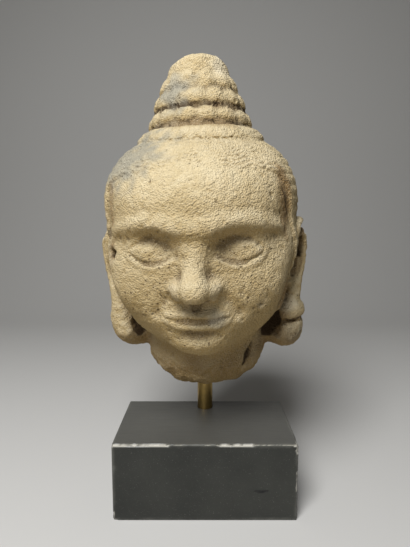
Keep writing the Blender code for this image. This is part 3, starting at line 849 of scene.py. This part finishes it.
def grain_group():
    """Grains of two sizes: their height, the pale ones and the dark gaps between them."""
    group, given, result = new_group(
        "grain",
        (("Vector", "NodeSocketVector", None), ("Size", "NodeSocketFloat", 0.001)),
        (("Height", "NodeSocketFloat"), ("Pale", "NodeSocketFloat"), ("Dark", "NodeSocketFloat")),
    )
    scale = maths(group, "DIVIDE", 1.0, given.outputs["Size"])
    coarse = add_node(group, "ShaderNodeTexNoise", {
        "Vector": given.outputs["Vector"], "Scale": maths(group, "MULTIPLY", scale, 0.5),
        "Detail": 3.0, "Roughness": 0.65,
    })
    grains = add_node(group, "ShaderNodeTexVoronoi", {
        "Vector": given.outputs["Vector"], "Scale": scale, "Randomness": 1.0,
    })
    fine = add_node(group, "ShaderNodeTexNoise", {
        "Vector": given.outputs["Vector"], "Scale": maths(group, "MULTIPLY", scale, 2.2), "Detail": 2.0,
    })
    bead = spread(group, grains.outputs["Distance"], 0.0, 0.75, 1.0, 0.0)
    height = maths(group, "MULTIPLY_ADD", coarse.outputs["Fac"], 1.1, maths(group, "MULTIPLY", bead, 0.45))
    height = maths(group, "ADD", height, maths(group, "MULTIPLY", fine.outputs["Fac"], 0.35))
    group.links.new(height, result.inputs["Height"])
    group.links.new(spread(group, fine.outputs["Fac"], 0.56, 0.72), result.inputs["Pale"])
    group.links.new(spread(group, height, 0.62, 0.38), result.inputs["Dark"])
    return group


def patches_group():
    """A mask of soft-edged patches."""
    group, given, result = new_group(
        "patches",
        (
            ("Vector", "NodeSocketVector", None), ("Size", "NodeSocketFloat", 0.02),
            ("Cover", "NodeSocketFloat", 0.5), ("Softness", "NodeSocketFloat", 0.12),
        ),
        (("Mask", "NodeSocketFloat"),),
    )
    scale = maths(group, "DIVIDE", 1.0, given.outputs["Size"])
    clouds = add_node(group, "ShaderNodeTexNoise", {
        "Vector": given.outputs["Vector"], "Scale": scale, "Detail": 5.0, "Roughness": 0.6,
    })
    middle = maths(group, "SUBTRACT", 0.72, maths(group, "MULTIPLY", given.outputs["Cover"], 0.44))
    low = maths(group, "SUBTRACT", middle, given.outputs["Softness"])
    high = maths(group, "ADD", middle, given.outputs["Softness"])
    group.links.new(spread(group, clouds.outputs["Fac"], low, high), result.inputs["Mask"])
    return group


def pits_group():
    """Small round pits in a share of the cells of an even net: 1 in a pit and 0 outside."""
    group, given, result = new_group(
        "pits",
        (
            ("Vector", "NodeSocketVector", None), ("Size", "NodeSocketFloat", 0.002),
            ("Share", "NodeSocketFloat", 0.2),
        ),
        (("Mask", "NodeSocketFloat"),),
    )
    scale = maths(group, "DIVIDE", 1.0, given.outputs["Size"])
    cells = add_node(group, "ShaderNodeTexVoronoi", {"Vector": given.outputs["Vector"], "Scale": scale})
    chance = add_node(group, "ShaderNodeSeparateColor", {"Color": cells.outputs["Color"]})
    reach = maths(group, "MULTIPLY_ADD", chance.outputs["Green"], 0.22, 0.16)
    inside = spread(group, maths(group, "DIVIDE", cells.outputs["Distance"], reach), 1.15, 0.75)
    chosen = maths(group, "LESS_THAN", chance.outputs["Red"], given.outputs["Share"])
    group.links.new(maths(group, "MULTIPLY", inside, chosen), result.inputs["Mask"])
    return group


def use_group(tree, group, **inputs):
    """A group placed in a material, with spaces in its inputs' names written as underscores."""
    node = tree.nodes.new("ShaderNodeGroup")
    node.node_tree = group
    for name, value in inputs.items():
        socket = node.inputs[name.replace("_", " ")]
        if isinstance(value, bpy.types.NodeSocket):
            tree.links.new(value, socket)
        else:
            socket.default_value = value
    return node


def group_named(name, make):
    """A shared group, made the first time that it is asked for."""
    return bpy.data.node_groups.get(name) or make()


def sandstone_material(settings):
    """Granular buff stone, greyed in patches and stained with earth, with painted shade browning its hollows,
    undersides and the neck under the chin and darkening its creases, pits and deep holes, and painted
    highlights on its ridges.
    """
    material, tree, shader = new_material("sandstone")
    grain = group_named("grain", grain_group)
    patches = group_named("patches", patches_group)
    pits = group_named("pits", pits_group)
    place = place_of(tree)
    fine = use_group(tree, grain, Vector=place, Size=settings.grain_size)
    clouds = use_group(tree, patches, Vector=place, Size=0.030, Cover=0.5, Softness=0.20).outputs[0]
    blots = use_group(tree, patches, Vector=place, Size=0.009, Cover=0.40, Softness=0.20).outputs[0]
    colour = blend(tree, clouds, tuple(settings.buff), tuple(settings.sand))
    small = use_group(tree, pits, Vector=place, Size=0.0021, Share=attribute(tree, "pitted")).outputs[0]
    colour = lay_over(tree, colour, (
        (blots, 0.30, settings.ochre_and_underside_shade),
        # painted shade: surfaces that face down are tinted ochre
        (spread(tree, upward(tree), 0.45, -0.55), 0.88, settings.ochre_and_underside_shade),
        # painted shade: hollows browned by how shut in they are
        (spread(tree, attribute(tree, "painted_recess_shade"), 0.15, 1.0), 0.35, settings.earth_brown_and_shade),
        # painted shade darkening the creases and sunk places
        (attribute(tree, "painted_crease_shade"), 0.6, settings.dark),
        # painted highlight on raised ridges, with the patches rubbed pale
        (attribute(tree, "ridge"), 0.5, settings.pale),
        (attribute(tree, "patina"), 0.8, settings.patina),
        # brown stains, and painted shade in recesses and down the neck under the chin
        (attribute(tree, "stain_and_painted_shade"), 0.8, settings.earth_brown_and_shade),
        (fine.outputs["Dark"], 0.68, settings.earth_brown_and_shade),
        (fine.outputs["Pale"], 0.50, settings.pale),
        # painted shade in the bottoms of the small pits
        (small, 0.6, settings.dark),
        # painted shade: deep holes and the grooves under the petals painted near black
        (attribute(tree, "hole"), 1.0, settings.hole),
    ))
    tree.links.new(colour, shader.inputs["Base Color"])
    shader.inputs["Roughness"].default_value = 0.93
    shader.inputs["Specular IOR Level"].default_value = 0.18
    height = maths(tree, "SUBTRACT", fine.outputs["Height"], maths(tree, "MULTIPLY", small, 0.6))
    bump = add_node(tree, "ShaderNodeBump", {
        "Height": height, "Strength": 0.9, "Distance": settings.grain_height,
    })
    tree.links.new(bump.outputs["Normal"], shader.inputs["Normal"])
    return material


def brass_material(settings):
    """Drawn brass with faint lines along it, and a duller, browner film in patches."""
    material, tree, shader = new_material("brass")
    patches = group_named("patches", patches_group)
    place = place_of(tree)
    drawn = add_node(tree, "ShaderNodeMapping", {"Vector": place, "Scale": (1.0, 1.0, 0.02)})
    lines = add_node(tree, "ShaderNodeTexNoise", {
        "Vector": drawn.outputs["Vector"], "Scale": 2600.0, "Detail": 3.0,
    }).outputs["Fac"]
    film = use_group(tree, patches, Vector=place, Size=0.007, Cover=0.45, Softness=0.2).outputs[0]
    colour = blend(tree, film, tuple(settings.brass), tuple(settings.film))
    tree.links.new(blend(tree, maths(tree, "MULTIPLY", lines, 0.25), colour, tuple(settings.film)),
                   shader.inputs["Base Color"])
    shader.inputs["Metallic"].default_value = 1.0
    tree.links.new(spread(tree, film, 0.0, 1.0, 0.30, 0.48), shader.inputs["Roughness"])
    bump = add_node(tree, "ShaderNodeBump", {"Height": lines, "Strength": 0.25, "Distance": 0.00005})
    tree.links.new(bump.outputs["Normal"], shader.inputs["Normal"])
    return material


def paint_material(settings):
    """Satin black paint over wood, brushed on, rubbed pale along the edges and a little dusty on top."""
    material, tree, shader = new_material("black paint")
    patches = group_named("patches", patches_group)
    place = place_of(tree)
    clouds = use_group(tree, patches, Vector=place, Size=0.045, Cover=0.5, Softness=0.25).outputs[0]
    brushed = add_node(tree, "ShaderNodeMapping", {"Vector": place, "Scale": (0.06, 1.0, 1.0)})
    strokes = add_node(tree, "ShaderNodeTexNoise", {
        "Vector": brushed.outputs["Vector"], "Scale": 900.0, "Detail": 4.0, "Roughness": 0.6,
    }).outputs["Fac"]
    colour = blend(tree, clouds, tuple(settings.paint), tuple(settings.faded))
    dust_spots = add_node(tree, "ShaderNodeTexNoise", {"Vector": place, "Scale": 1500.0, "Detail": 2.0})
    spots = spread(tree, dust_spots.outputs["Fac"], 0.66, 0.74)
    rub, chip, scratch = (attribute(tree, name) for name in ("rub", "chip", "scratch"))
    colour = lay_over(tree, colour, (
        (spread(tree, upward(tree), 0.5, 0.95), 0.16, settings.dust),
        (spots, 0.22, settings.dust),
        (rub, 0.75, settings.rubbed),
        (chip, 1.0, settings.bare),
        (scratch, 1.0, SCRATCH_COLOUR),
    ))
    tree.links.new(colour, shader.inputs["Base Color"])
    worn = maths(tree, "MAXIMUM", maths(tree, "MAXIMUM", rub, chip), scratch)
    rough = maths(tree, "MULTIPLY_ADD", worn, 0.30, spread(tree, strokes, 0.3, 0.7, 0.36, 0.50))
    tree.links.new(rough, shader.inputs["Roughness"])
    bump = add_node(tree, "ShaderNodeBump", {"Height": strokes, "Strength": 0.35, "Distance": 0.00012})
    tree.links.new(bump.outputs["Normal"], shader.inputs["Normal"])
    return material


def floor_material(settings):
    """Matt pale paper."""
    material, _, shader = new_material("pale floor")
    shader.inputs["Base Color"].default_value = (*settings.floor_colour, 1.0)
    shader.inputs["Roughness"].default_value = 0.9
    return material


def colour_setting(name, description, default):
    """A colour that a user can change."""
    return bpy.props.FloatVectorProperty(
        name=name, description=description, subtype="COLOR", size=3, min=0.0, max=1.0, default=default
    )


def length_setting(name, description, default):
    """A length in metres that a user can change."""
    return bpy.props.FloatProperty(
        name=name, description=description, unit="LENGTH", precision=5, default=default
    )


def share_setting(name, description, default):
    """A strength or share that a user can change."""
    return bpy.props.FloatProperty(name=name, description=description, min=0.0, default=default)


class HeadSettings(bpy.types.PropertyGroup):
    """Relief and colours of the stone."""

    mesh_step: share_setting("Mesh step", "Spacing of the carved points, in steps of about 1 mm", 1.27)
    curl_relief: share_setting("Curl relief", "How far the curls stand over their grooves, in steps", 1.0)
    grain_relief: share_setting("Grain relief", "Height of the stone's coarse grain, in steps", 0.32)
    pit_depth: share_setting("Pit depth", "Depth of the weathered pits, in steps", 0.75)
    break_relief: share_setting("Break relief", "Roughness of the broken neck, in steps", 1.6)
    grain_size: length_setting("Grain size", "Width of a sand grain in the finish", 0.0011)
    grain_height: length_setting("Grain height", "Depth of the fine grain in the finish", 0.0015)
    buff: colour_setting("Buff", "Main colour of the stone", (0.46, 0.375, 0.22))
    sand: colour_setting("Sand", "Paler areas of the stone", (0.56, 0.475, 0.31))
    # This colour also paints shade on the undersides, as well as the ochre blots.
    ochre_and_underside_shade: colour_setting("Ochre", "Warmer stone in blots and on undersides", (0.37, 0.250, 0.092))
    # This colour also paints highlights on the ridges.
    pale: colour_setting("Pale", "Grains and worn ridges", (0.72, 0.65, 0.49))
    # This colour also paints the shade in hollows and recesses, as well as the earth and the grain's dark
    # gaps.
    earth_brown_and_shade: colour_setting("Brown", "Earth left in hollows", (0.20, 0.115, 0.040))
    # This colour paints the shade in creases and in the bottoms of the pits.
    dark: colour_setting("Dark", "Bottoms of pits and crevices", (0.10, 0.062, 0.028))
    # This colour paints the shade in deep holes and in the grooves under the petals.
    hole: colour_setting("Hole", "The dark of deep small holes", (0.045, 0.027, 0.012))
    patina: colour_setting("Patina", "Grey weathered patches", (0.235, 0.228, 0.19))


class RodSettings(bpy.types.PropertyGroup):
    """Colours of the rod."""

    brass: colour_setting("Brass", "Clean brass", (0.50, 0.34, 0.11))
    film: colour_setting("Film", "Tarnished brass", (0.30, 0.21, 0.08))


class PlinthSettings(bpy.types.PropertyGroup):
    """Wear and colours of the plinth."""

    mesh_step: length_setting("Mesh step", "Spacing of the plinth's points", 0.0011)
    edge_radius: length_setting("Edge radius", "Rounding of the worn edges", 0.0009)
    chip_depth: length_setting("Chip depth", "Depth of the chips along the edges", 0.0011)
    paint: colour_setting("Paint", "Black paint", (0.008, 0.009, 0.007))
    faded: colour_setting("Faded", "Greyer paint", (0.026, 0.027, 0.022))
    rubbed: colour_setting("Rubbed", "Paint rubbed thin along an edge", (0.11, 0.11, 0.095))
    bare: colour_setting("Bare", "Pale ground where the paint is chipped off", (0.50, 0.48, 0.42))
    dust: colour_setting("Dust", "Dust on the paint", (0.36, 0.35, 0.32))


class StageSettings(bpy.types.PropertyGroup):
    """Floor, lights and camera."""

    floor_colour: colour_setting("Floor", "Colour of the floor", (0.50, 0.495, 0.48))
    key_power: share_setting("Key light", "Power of the soft light overhead, in watts", 13.0)
    fill_power: share_setting("Fill light", "Power of the soft light in front, in watts", 0.5)
    sky: share_setting("Sky", "Strength of the even light from all round", 0.07)
    focal_length: share_setting("Focal length", "Of the camera, in millimetres", 27.05)
    camera_distance: length_setting("Camera distance", "From the plinth's front to the camera", 0.2599)
    camera_height: length_setting("Camera height", "Over the plinth's top", 0.14225)
    camera_tilt: bpy.props.FloatProperty(
        name="Camera tilt", description="Downwards", subtype="ANGLE", default=math.radians(6.05)
    )


def block_out(spacing):
    """Spheres fused into one rough block, in grid steps."""
    deselect_all()
    lumps = []
    for centre, radii in ROUGH_MASSES:
        for side in (1, -1) if centre[0] else (1,):
            place = (side * centre[0], centre[1], centre[2])
            bpy.ops.mesh.primitive_uv_sphere_add(segments=48, ring_count=32, location=place, scale=radii)
            lumps.append(bpy.context.object)
    for lump in lumps:
        lump.select_set(True)
    bpy.context.view_layer.objects.active = lumps[0]
    bpy.ops.object.join()
    block = bpy.context.object
    bpy.ops.object.transform_apply()
    apply_modifier(block, "REMESH", mode="VOXEL", voxel_size=spacing)
    return block


def weather(settings, points):
    """How far wear, grain and the break raise or lower the surface, in steps."""
    broken = smooth_step(BREAK_TOP - points[:, 2], 0.0, BREAK_EDGE)
    crumbled = strongest_patch(points, CRUMBLED_PATCHES, 0.4, 1)
    slow = 0.8 * noise_at(points, SLOW_WEAR)
    quick = (0.35 + settings.break_relief * broken) * noise_at(points, QUICK_WEAR)
    coarse = (0.24 + 0.5 * broken + 1.1 * crumbled) * noise_at(points, 4.0, 3.7)
    grain = settings.grain_relief * (1.0 + broken + 0.8 * crumbled) * noise_at(points, 1.9, 11.3)
    return slow + quick + coarse + grain


def pitting(settings, points):
    """Depth of the weathered pits, thick on the cheeks and round the mouth, in steps."""
    cluster = strongest_patch(points, PITTED_PATCHES, 0.5, 0)
    small = pits_at(points, 2.6, 0.06 + 0.50 * cluster, 1.3)
    large = pits_at(points, 5.0, 0.02 + 0.14 * cluster, 6.1)
    return settings.pit_depth * (small + 1.3 * large)


def finish_stone(mesh, form, placing):
    """Keeps what the stone's colour needs at each point: painted shade for hollows, creases and deep holes,
    painted highlight on ridges, the patches rubbed pale, where pits are thick, grey patina, and stains that
    are partly painted shade.
    """
    places = mesh_points(mesh)
    edges = mesh_edges(mesh)
    points = placing.to_grid(places)
    _, slope = form.measure(points)
    out = slope / np.maximum(np.linalg.norm(slope, axis=1), 1e-6)[:, None]
    # Painted shade for the hollows: how shut in each point is, from the distance to the stone a little way
    # out, in place of occlusion.
    near = 1.0 - form.distance(points + 5.0 * out) / 5.0
    wide = 1.0 - form.distance(points + 14.0 * out) / 14.0
    painted_recess_shade = (0.45 * np.clip(near, 0, 1) + 0.75 * np.clip(wide, 0, 1))[:, None]
    for _ in range(5):
        painted_recess_shade = neighbours_mean(painted_recess_shade, edges)
    store(mesh, "painted_recess_shade", painted_recess_shade[:, 0])
    # Painted shade in creases: how far each point lies sunk below its neighbours.
    ring = neighbours_mean(points, edges)
    sunk = ((neighbours_mean(ring, edges) - points) * out).sum(1)
    for _ in range(2):
        sunk = neighbours_mean(sunk[:, None], edges)[:, 0] * 0.5 + sunk * 0.5
    store(mesh, "painted_crease_shade", smooth_step(sunk, 0.05, 0.42))
    store(mesh, "pitted", 0.03 + 0.42 * strongest_patch(points, PITTED_PATCHES, 0.7, 0))
    # Painted shade: the deep hollows, and the grooves under the rings of petals, painted near black.
    holes = np.zeros(len(points))
    for path, radii in HOLES:
        holes = np.maximum(holes, smooth_step(-Strand(path, radii).distance(points), -0.8, 0.6))
    back = points[:, 1] - KNOT_BACK
    ring_height = points[:, 2] + KNOT_LEAN * back
    from_axis = np.hypot(points[:, 0], back)
    for height, radius, thickness in UNDERCUTS:
        reach = np.hypot(ring_height - height, 0.5 * (from_axis - radius + 1.0)) / thickness
        ragged = 0.90 + 0.6 * noise_at(points, 9.0, height)
        holes = np.maximum(holes, np.clip(ragged, 0.0, 1.0) * smooth_step(1.3 - reach, 0.0, 0.4))
    store(mesh, "hole", holes)
    # Painted highlight on ridges that stand above their neighbours, kept together with the patches rubbed
    # pale.
    ridges = 0.3 * smooth_step(-sunk, 0.04, 0.30)
    store(mesh, "ridge", np.maximum(ridges, strongest_patch(points, WORN_PATCHES, 0.5, 1)))
    patina = np.zeros(len(points))
    for strength, centre, radii, ragged, shift in GREY_PATCHES:
        patina = np.maximum(patina, strength * near_patch(points, centre, radii, ragged, shift))
    store(mesh, "patina", patina)
    # Stains and painted shade: darker brown towards the bottom of the neck under the chin, and in the listed
    # patches.
    neck = smooth_step(-points[:, 2], 64.0, 84.0) * (0.50 + 0.3 * noise_at(points, 14.0, 2.0))
    store(mesh, "stain_and_painted_shade", np.maximum(neck, strongest_patch(points, STAINED_AND_SHADED_PATCHES, 0.35, 2)))


class SCULPTURE_OT_head(bpy.types.Operator):
    """Carves the sandstone head from rough masses, wears it, and drills it for the rod"""

    bl_idname = "sculpture.head"
    bl_label = "Stone Head"

    def execute(self, context):
        settings = context.scene.head_settings
        head = block_out(settings.mesh_step)
        mesh = head.data
        form = carved_head()
        points, out = carve_to(form, mesh_points(mesh), mesh_edges(mesh))
        worn = 0.35 + 0.65 * smooth_step(noise_at(points, 17.0, 8.0), -0.35, 0.25)
        curls = hair_rise(points) + settings.curl_relief * worn * (hair_relief(points) - 0.6)
        pits = pitting(settings, points)
        height = hair_cover(points) * curls + weather(settings, points) - pits
        points = points + out * height[:, None]
        placing = Placing(points)
        set_points(mesh, placing.to_frame(points))
        drill_for_rod(head, PLINTH_HIGH.z + ROD_ROOM, ROD_HIGH.z + ROD_ROOM)
        finish_stone(mesh, form, placing)
        bpy.ops.object.shade_smooth()
        finish_piece(head, "carved_head", sandstone_material(settings), "sandstone_head")
        return {"FINISHED"}


def plinth_distance(points, radius):
    """Signed distance to the plinth's block with its edges rounded, and how near each point is to an edge."""
    middle = np.array((PLINTH_LOW + PLINTH_HIGH) / 2.0)
    half = np.array((PLINTH_HIGH - PLINTH_LOW) / 2.0)
    over = np.abs(points - middle) - half
    inner = over + radius
    outside = np.linalg.norm(np.maximum(inner, 0.0), axis=1)
    distance = outside + np.minimum(inner.max(axis=1), 0.0) - radius
    ordered = np.sort(over, axis=1)
    return distance, -ordered[:, 1]


class SCULPTURE_OT_plinth(bpy.types.Operator):
    """Makes the painted wooden plinth with its chipped and rubbed edges"""

    bl_idname = "sculpture.plinth"
    bl_label = "Wooden Plinth"

    def execute(self, context):
        settings = context.scene.plinth_settings
        deselect_all()
        size = PLINTH_HIGH - PLINTH_LOW
        bpy.ops.mesh.primitive_cube_add(size=1.0, location=(PLINTH_LOW + PLINTH_HIGH) / 2.0, scale=size)
        plinth = bpy.context.object
        bpy.ops.object.transform_apply()
        apply_modifier(plinth, "REMESH", mode="VOXEL", voxel_size=settings.mesh_step)
        mesh = plinth.data
        points = mesh_points(mesh)
        self.wear(settings, mesh, points)
        drill_for_rod(plinth, ROD_LOW.z - ROD_ROOM, 2.0 * PLINTH_HIGH.z - ROD_LOW.z - ROD_ROOM)
        bpy.ops.object.shade_smooth_by_angle(angle=math.radians(35.0))
        finish_piece(plinth, "painted_plinth", paint_material(settings), "wooden_plinth")
        return {"FINISHED"}

    def wear(self, settings, mesh, points):
        """Rounds and chips the edges, and keeps where the paint is rubbed or gone."""
        steps = points * 1000.0
        low, high = np.array(PLINTH_LOW), np.array(PLINTH_HIGH)
        _, to_edge = plinth_distance(points, settings.edge_radius)
        to_edge = np.clip(to_edge * 1000.0, 0.0, None)
        ragged = noise_at(steps, 5.0, 1.0) + 0.6 * noise_at(steps, 1.8, 4.0)
        busy = noise_at(steps * (1.0, 1.0, 0.6), 22.0, 9.0)
        top_front = (points[:, 2] > high[2] - 0.006) & (points[:, 1] < low[1] + 0.006)
        busiest = strongest_patch(steps, CHIPPED_EDGES, 0.6, 0)
        reach = 0.15 + 0.5 * busy + np.where(top_front, 0.35, 0.0) + 1.1 * busiest + 0.55 * ragged
        chipped = smooth_step(reach - to_edge, 0.0, 0.9)
        for _ in range(3):
            distance, _ = plinth_distance(points, settings.edge_radius)
            distance = distance + chipped * settings.chip_depth
            small = 0.00005
            slope = np.stack([
                plinth_distance(points + shift, settings.edge_radius)[0]
                - plinth_distance(points - shift, settings.edge_radius)[0]
                for shift in np.eye(3) * small
            ], axis=1) / (2.0 * small)
            points = points - slope * distance[:, None]
        points[:, 2] = np.maximum(points[:, 2], low[2])
        set_points(mesh, points)
        store(mesh, "chip", smooth_step(reach - to_edge, 0.25, 0.8))
        rub = 1.9 + 1.3 * busy + 0.8 * ragged
        store(mesh, "rub", 0.85 * smooth_step(rub - to_edge, 0.0, 2.0))
        store(mesh, "scratch", smooth_step(-Strand(*SCRATCH).distance(steps), -0.5, 0.3))


class SCULPTURE_OT_rod(bpy.types.Operator):
    """Finishes the brass rod"""

    bl_idname = "sculpture.rod"
    bl_label = "Brass Rod"

    def execute(self, context):
        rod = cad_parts["brass_rod"]
        rod.data.materials.clear()
        rod.data.materials.append(brass_material(context.scene.rod_settings))
        return {"FINISHED"}


class SCULPTURE_OT_stage(bpy.types.Operator):
    """Lays the pale floor and sets the lights and the camera"""

    bl_idname = "sculpture.stage"
    bl_label = "Stage"

    def execute(self, context):
        settings = context.scene.stage_settings
        deselect_all()
        floor = self.sweep()
        floor.data.materials.append(floor_material(settings))
        target = Vector((0.0, 0.0, HEAD_LOW.z + 0.1))
        self.area_light("key", KEY_PLACE, target, KEY_SIZE, settings.key_power)
        self.area_light("fill", FILL_PLACE, target, FILL_SIZE, settings.fill_power)
        world = bpy.data.worlds.new("even light")
        world.use_nodes = True
        world.node_tree.nodes["Background"].inputs["Color"].default_value = SKY_COLOUR
        world.node_tree.nodes["Background"].inputs["Strength"].default_value = settings.sky
        context.scene.world = world
        camera = bpy.data.objects.new("camera", bpy.data.cameras.new("camera"))
        context.scene.collection.objects.link(camera)
        camera.data.lens = settings.focal_length
        camera.location = (
            0.0, PLINTH_LOW.y - settings.camera_distance, PLINTH_HIGH.z + settings.camera_height
        )
        camera.rotation_euler = (math.radians(90.0) - settings.camera_tilt, 0.0, 0.0)
        context.scene.camera = camera
        context.scene.view_settings.view_transform = "Standard"
        return {"FINISHED"}

    def sweep(self):
        """A floor that rises behind the piece in one soft bend."""
        low = PLINTH_LOW.z - FLOOR_GAP
        turns = np.linspace(0.0, math.pi / 2.0, 17)
        profile = [(-FLOOR_FRONT, low)]
        profile += [
            (FLOOR_BEND_START + FLOOR_BEND * math.sin(turn), low + FLOOR_BEND * (1.0 - math.cos(turn)))
            for turn in turns
        ]
        profile.append((FLOOR_BEND_START + FLOOR_BEND, FLOOR_HALF_WIDTH))
        corners = [(side * FLOOR_HALF_WIDTH, back, up) for back, up in profile for side in (-1, 1)]
        faces = [(2 * k, 2 * k + 1, 2 * k + 3, 2 * k + 2) for k in range(len(profile) - 1)]
        mesh = bpy.data.meshes.new("floor")
        mesh.from_pydata(corners, [], faces)
        mesh.shade_smooth()
        floor = bpy.data.objects.new("floor", mesh)
        bpy.context.scene.collection.objects.link(floor)
        return floor

    def area_light(self, name, place, target, size, power):
        """A square soft light that looks at the target."""
        lamp = bpy.data.lights.new(name, "AREA")
        lamp.size = size
        lamp.energy = power
        light = bpy.data.objects.new(name, lamp)
        light.location = place
        light.rotation_euler = (target - light.location).to_track_quat("-Z", "Y").to_euler()
        bpy.context.scene.collection.objects.link(light)


class SCULPTURE_PT_panel(bpy.types.Panel):
    """Lists the pieces and their settings"""

    bl_label = "Stone Head"
    bl_idname = "SCULPTURE_PT_panel"
    bl_space_type = "VIEW_3D"
    bl_region_type = "UI"
    bl_category = "Stone Head"

    def draw(self, context):
        for operator, key in zip(OPERATORS, SETTINGS):
            settings = getattr(context.scene, key)
            box = self.layout.box()
            box.operator(operator.bl_idname)
            for name in settings.bl_rna.properties.keys():
                if name not in ("rna_type", "name"):
                    box.prop(settings, name)


SETTINGS = {
    "head_settings": HeadSettings,
    "rod_settings": RodSettings,
    "plinth_settings": PlinthSettings,
    "stage_settings": StageSettings,
}
OPERATORS = (SCULPTURE_OT_head, SCULPTURE_OT_rod, SCULPTURE_OT_plinth, SCULPTURE_OT_stage)


def register():
    for name, settings in SETTINGS.items():
        bpy.utils.register_class(settings)
        setattr(bpy.types.Scene, name, bpy.props.PointerProperty(type=settings))
    for made in (*OPERATORS, SCULPTURE_PT_panel):
        bpy.utils.register_class(made)


def unregister():
    for made in (SCULPTURE_PT_panel, *reversed(OPERATORS)):
        bpy.utils.unregister_class(made)
    for name, settings in reversed(SETTINGS.items()):
        delattr(bpy.types.Scene, name)
        bpy.utils.unregister_class(settings)


def main():
    register()
    bpy.ops.sculpture.head()
    bpy.ops.sculpture.rod()
    bpy.ops.sculpture.plinth()
    bpy.ops.sculpture.stage()


if __name__ == "__main__":
    main()
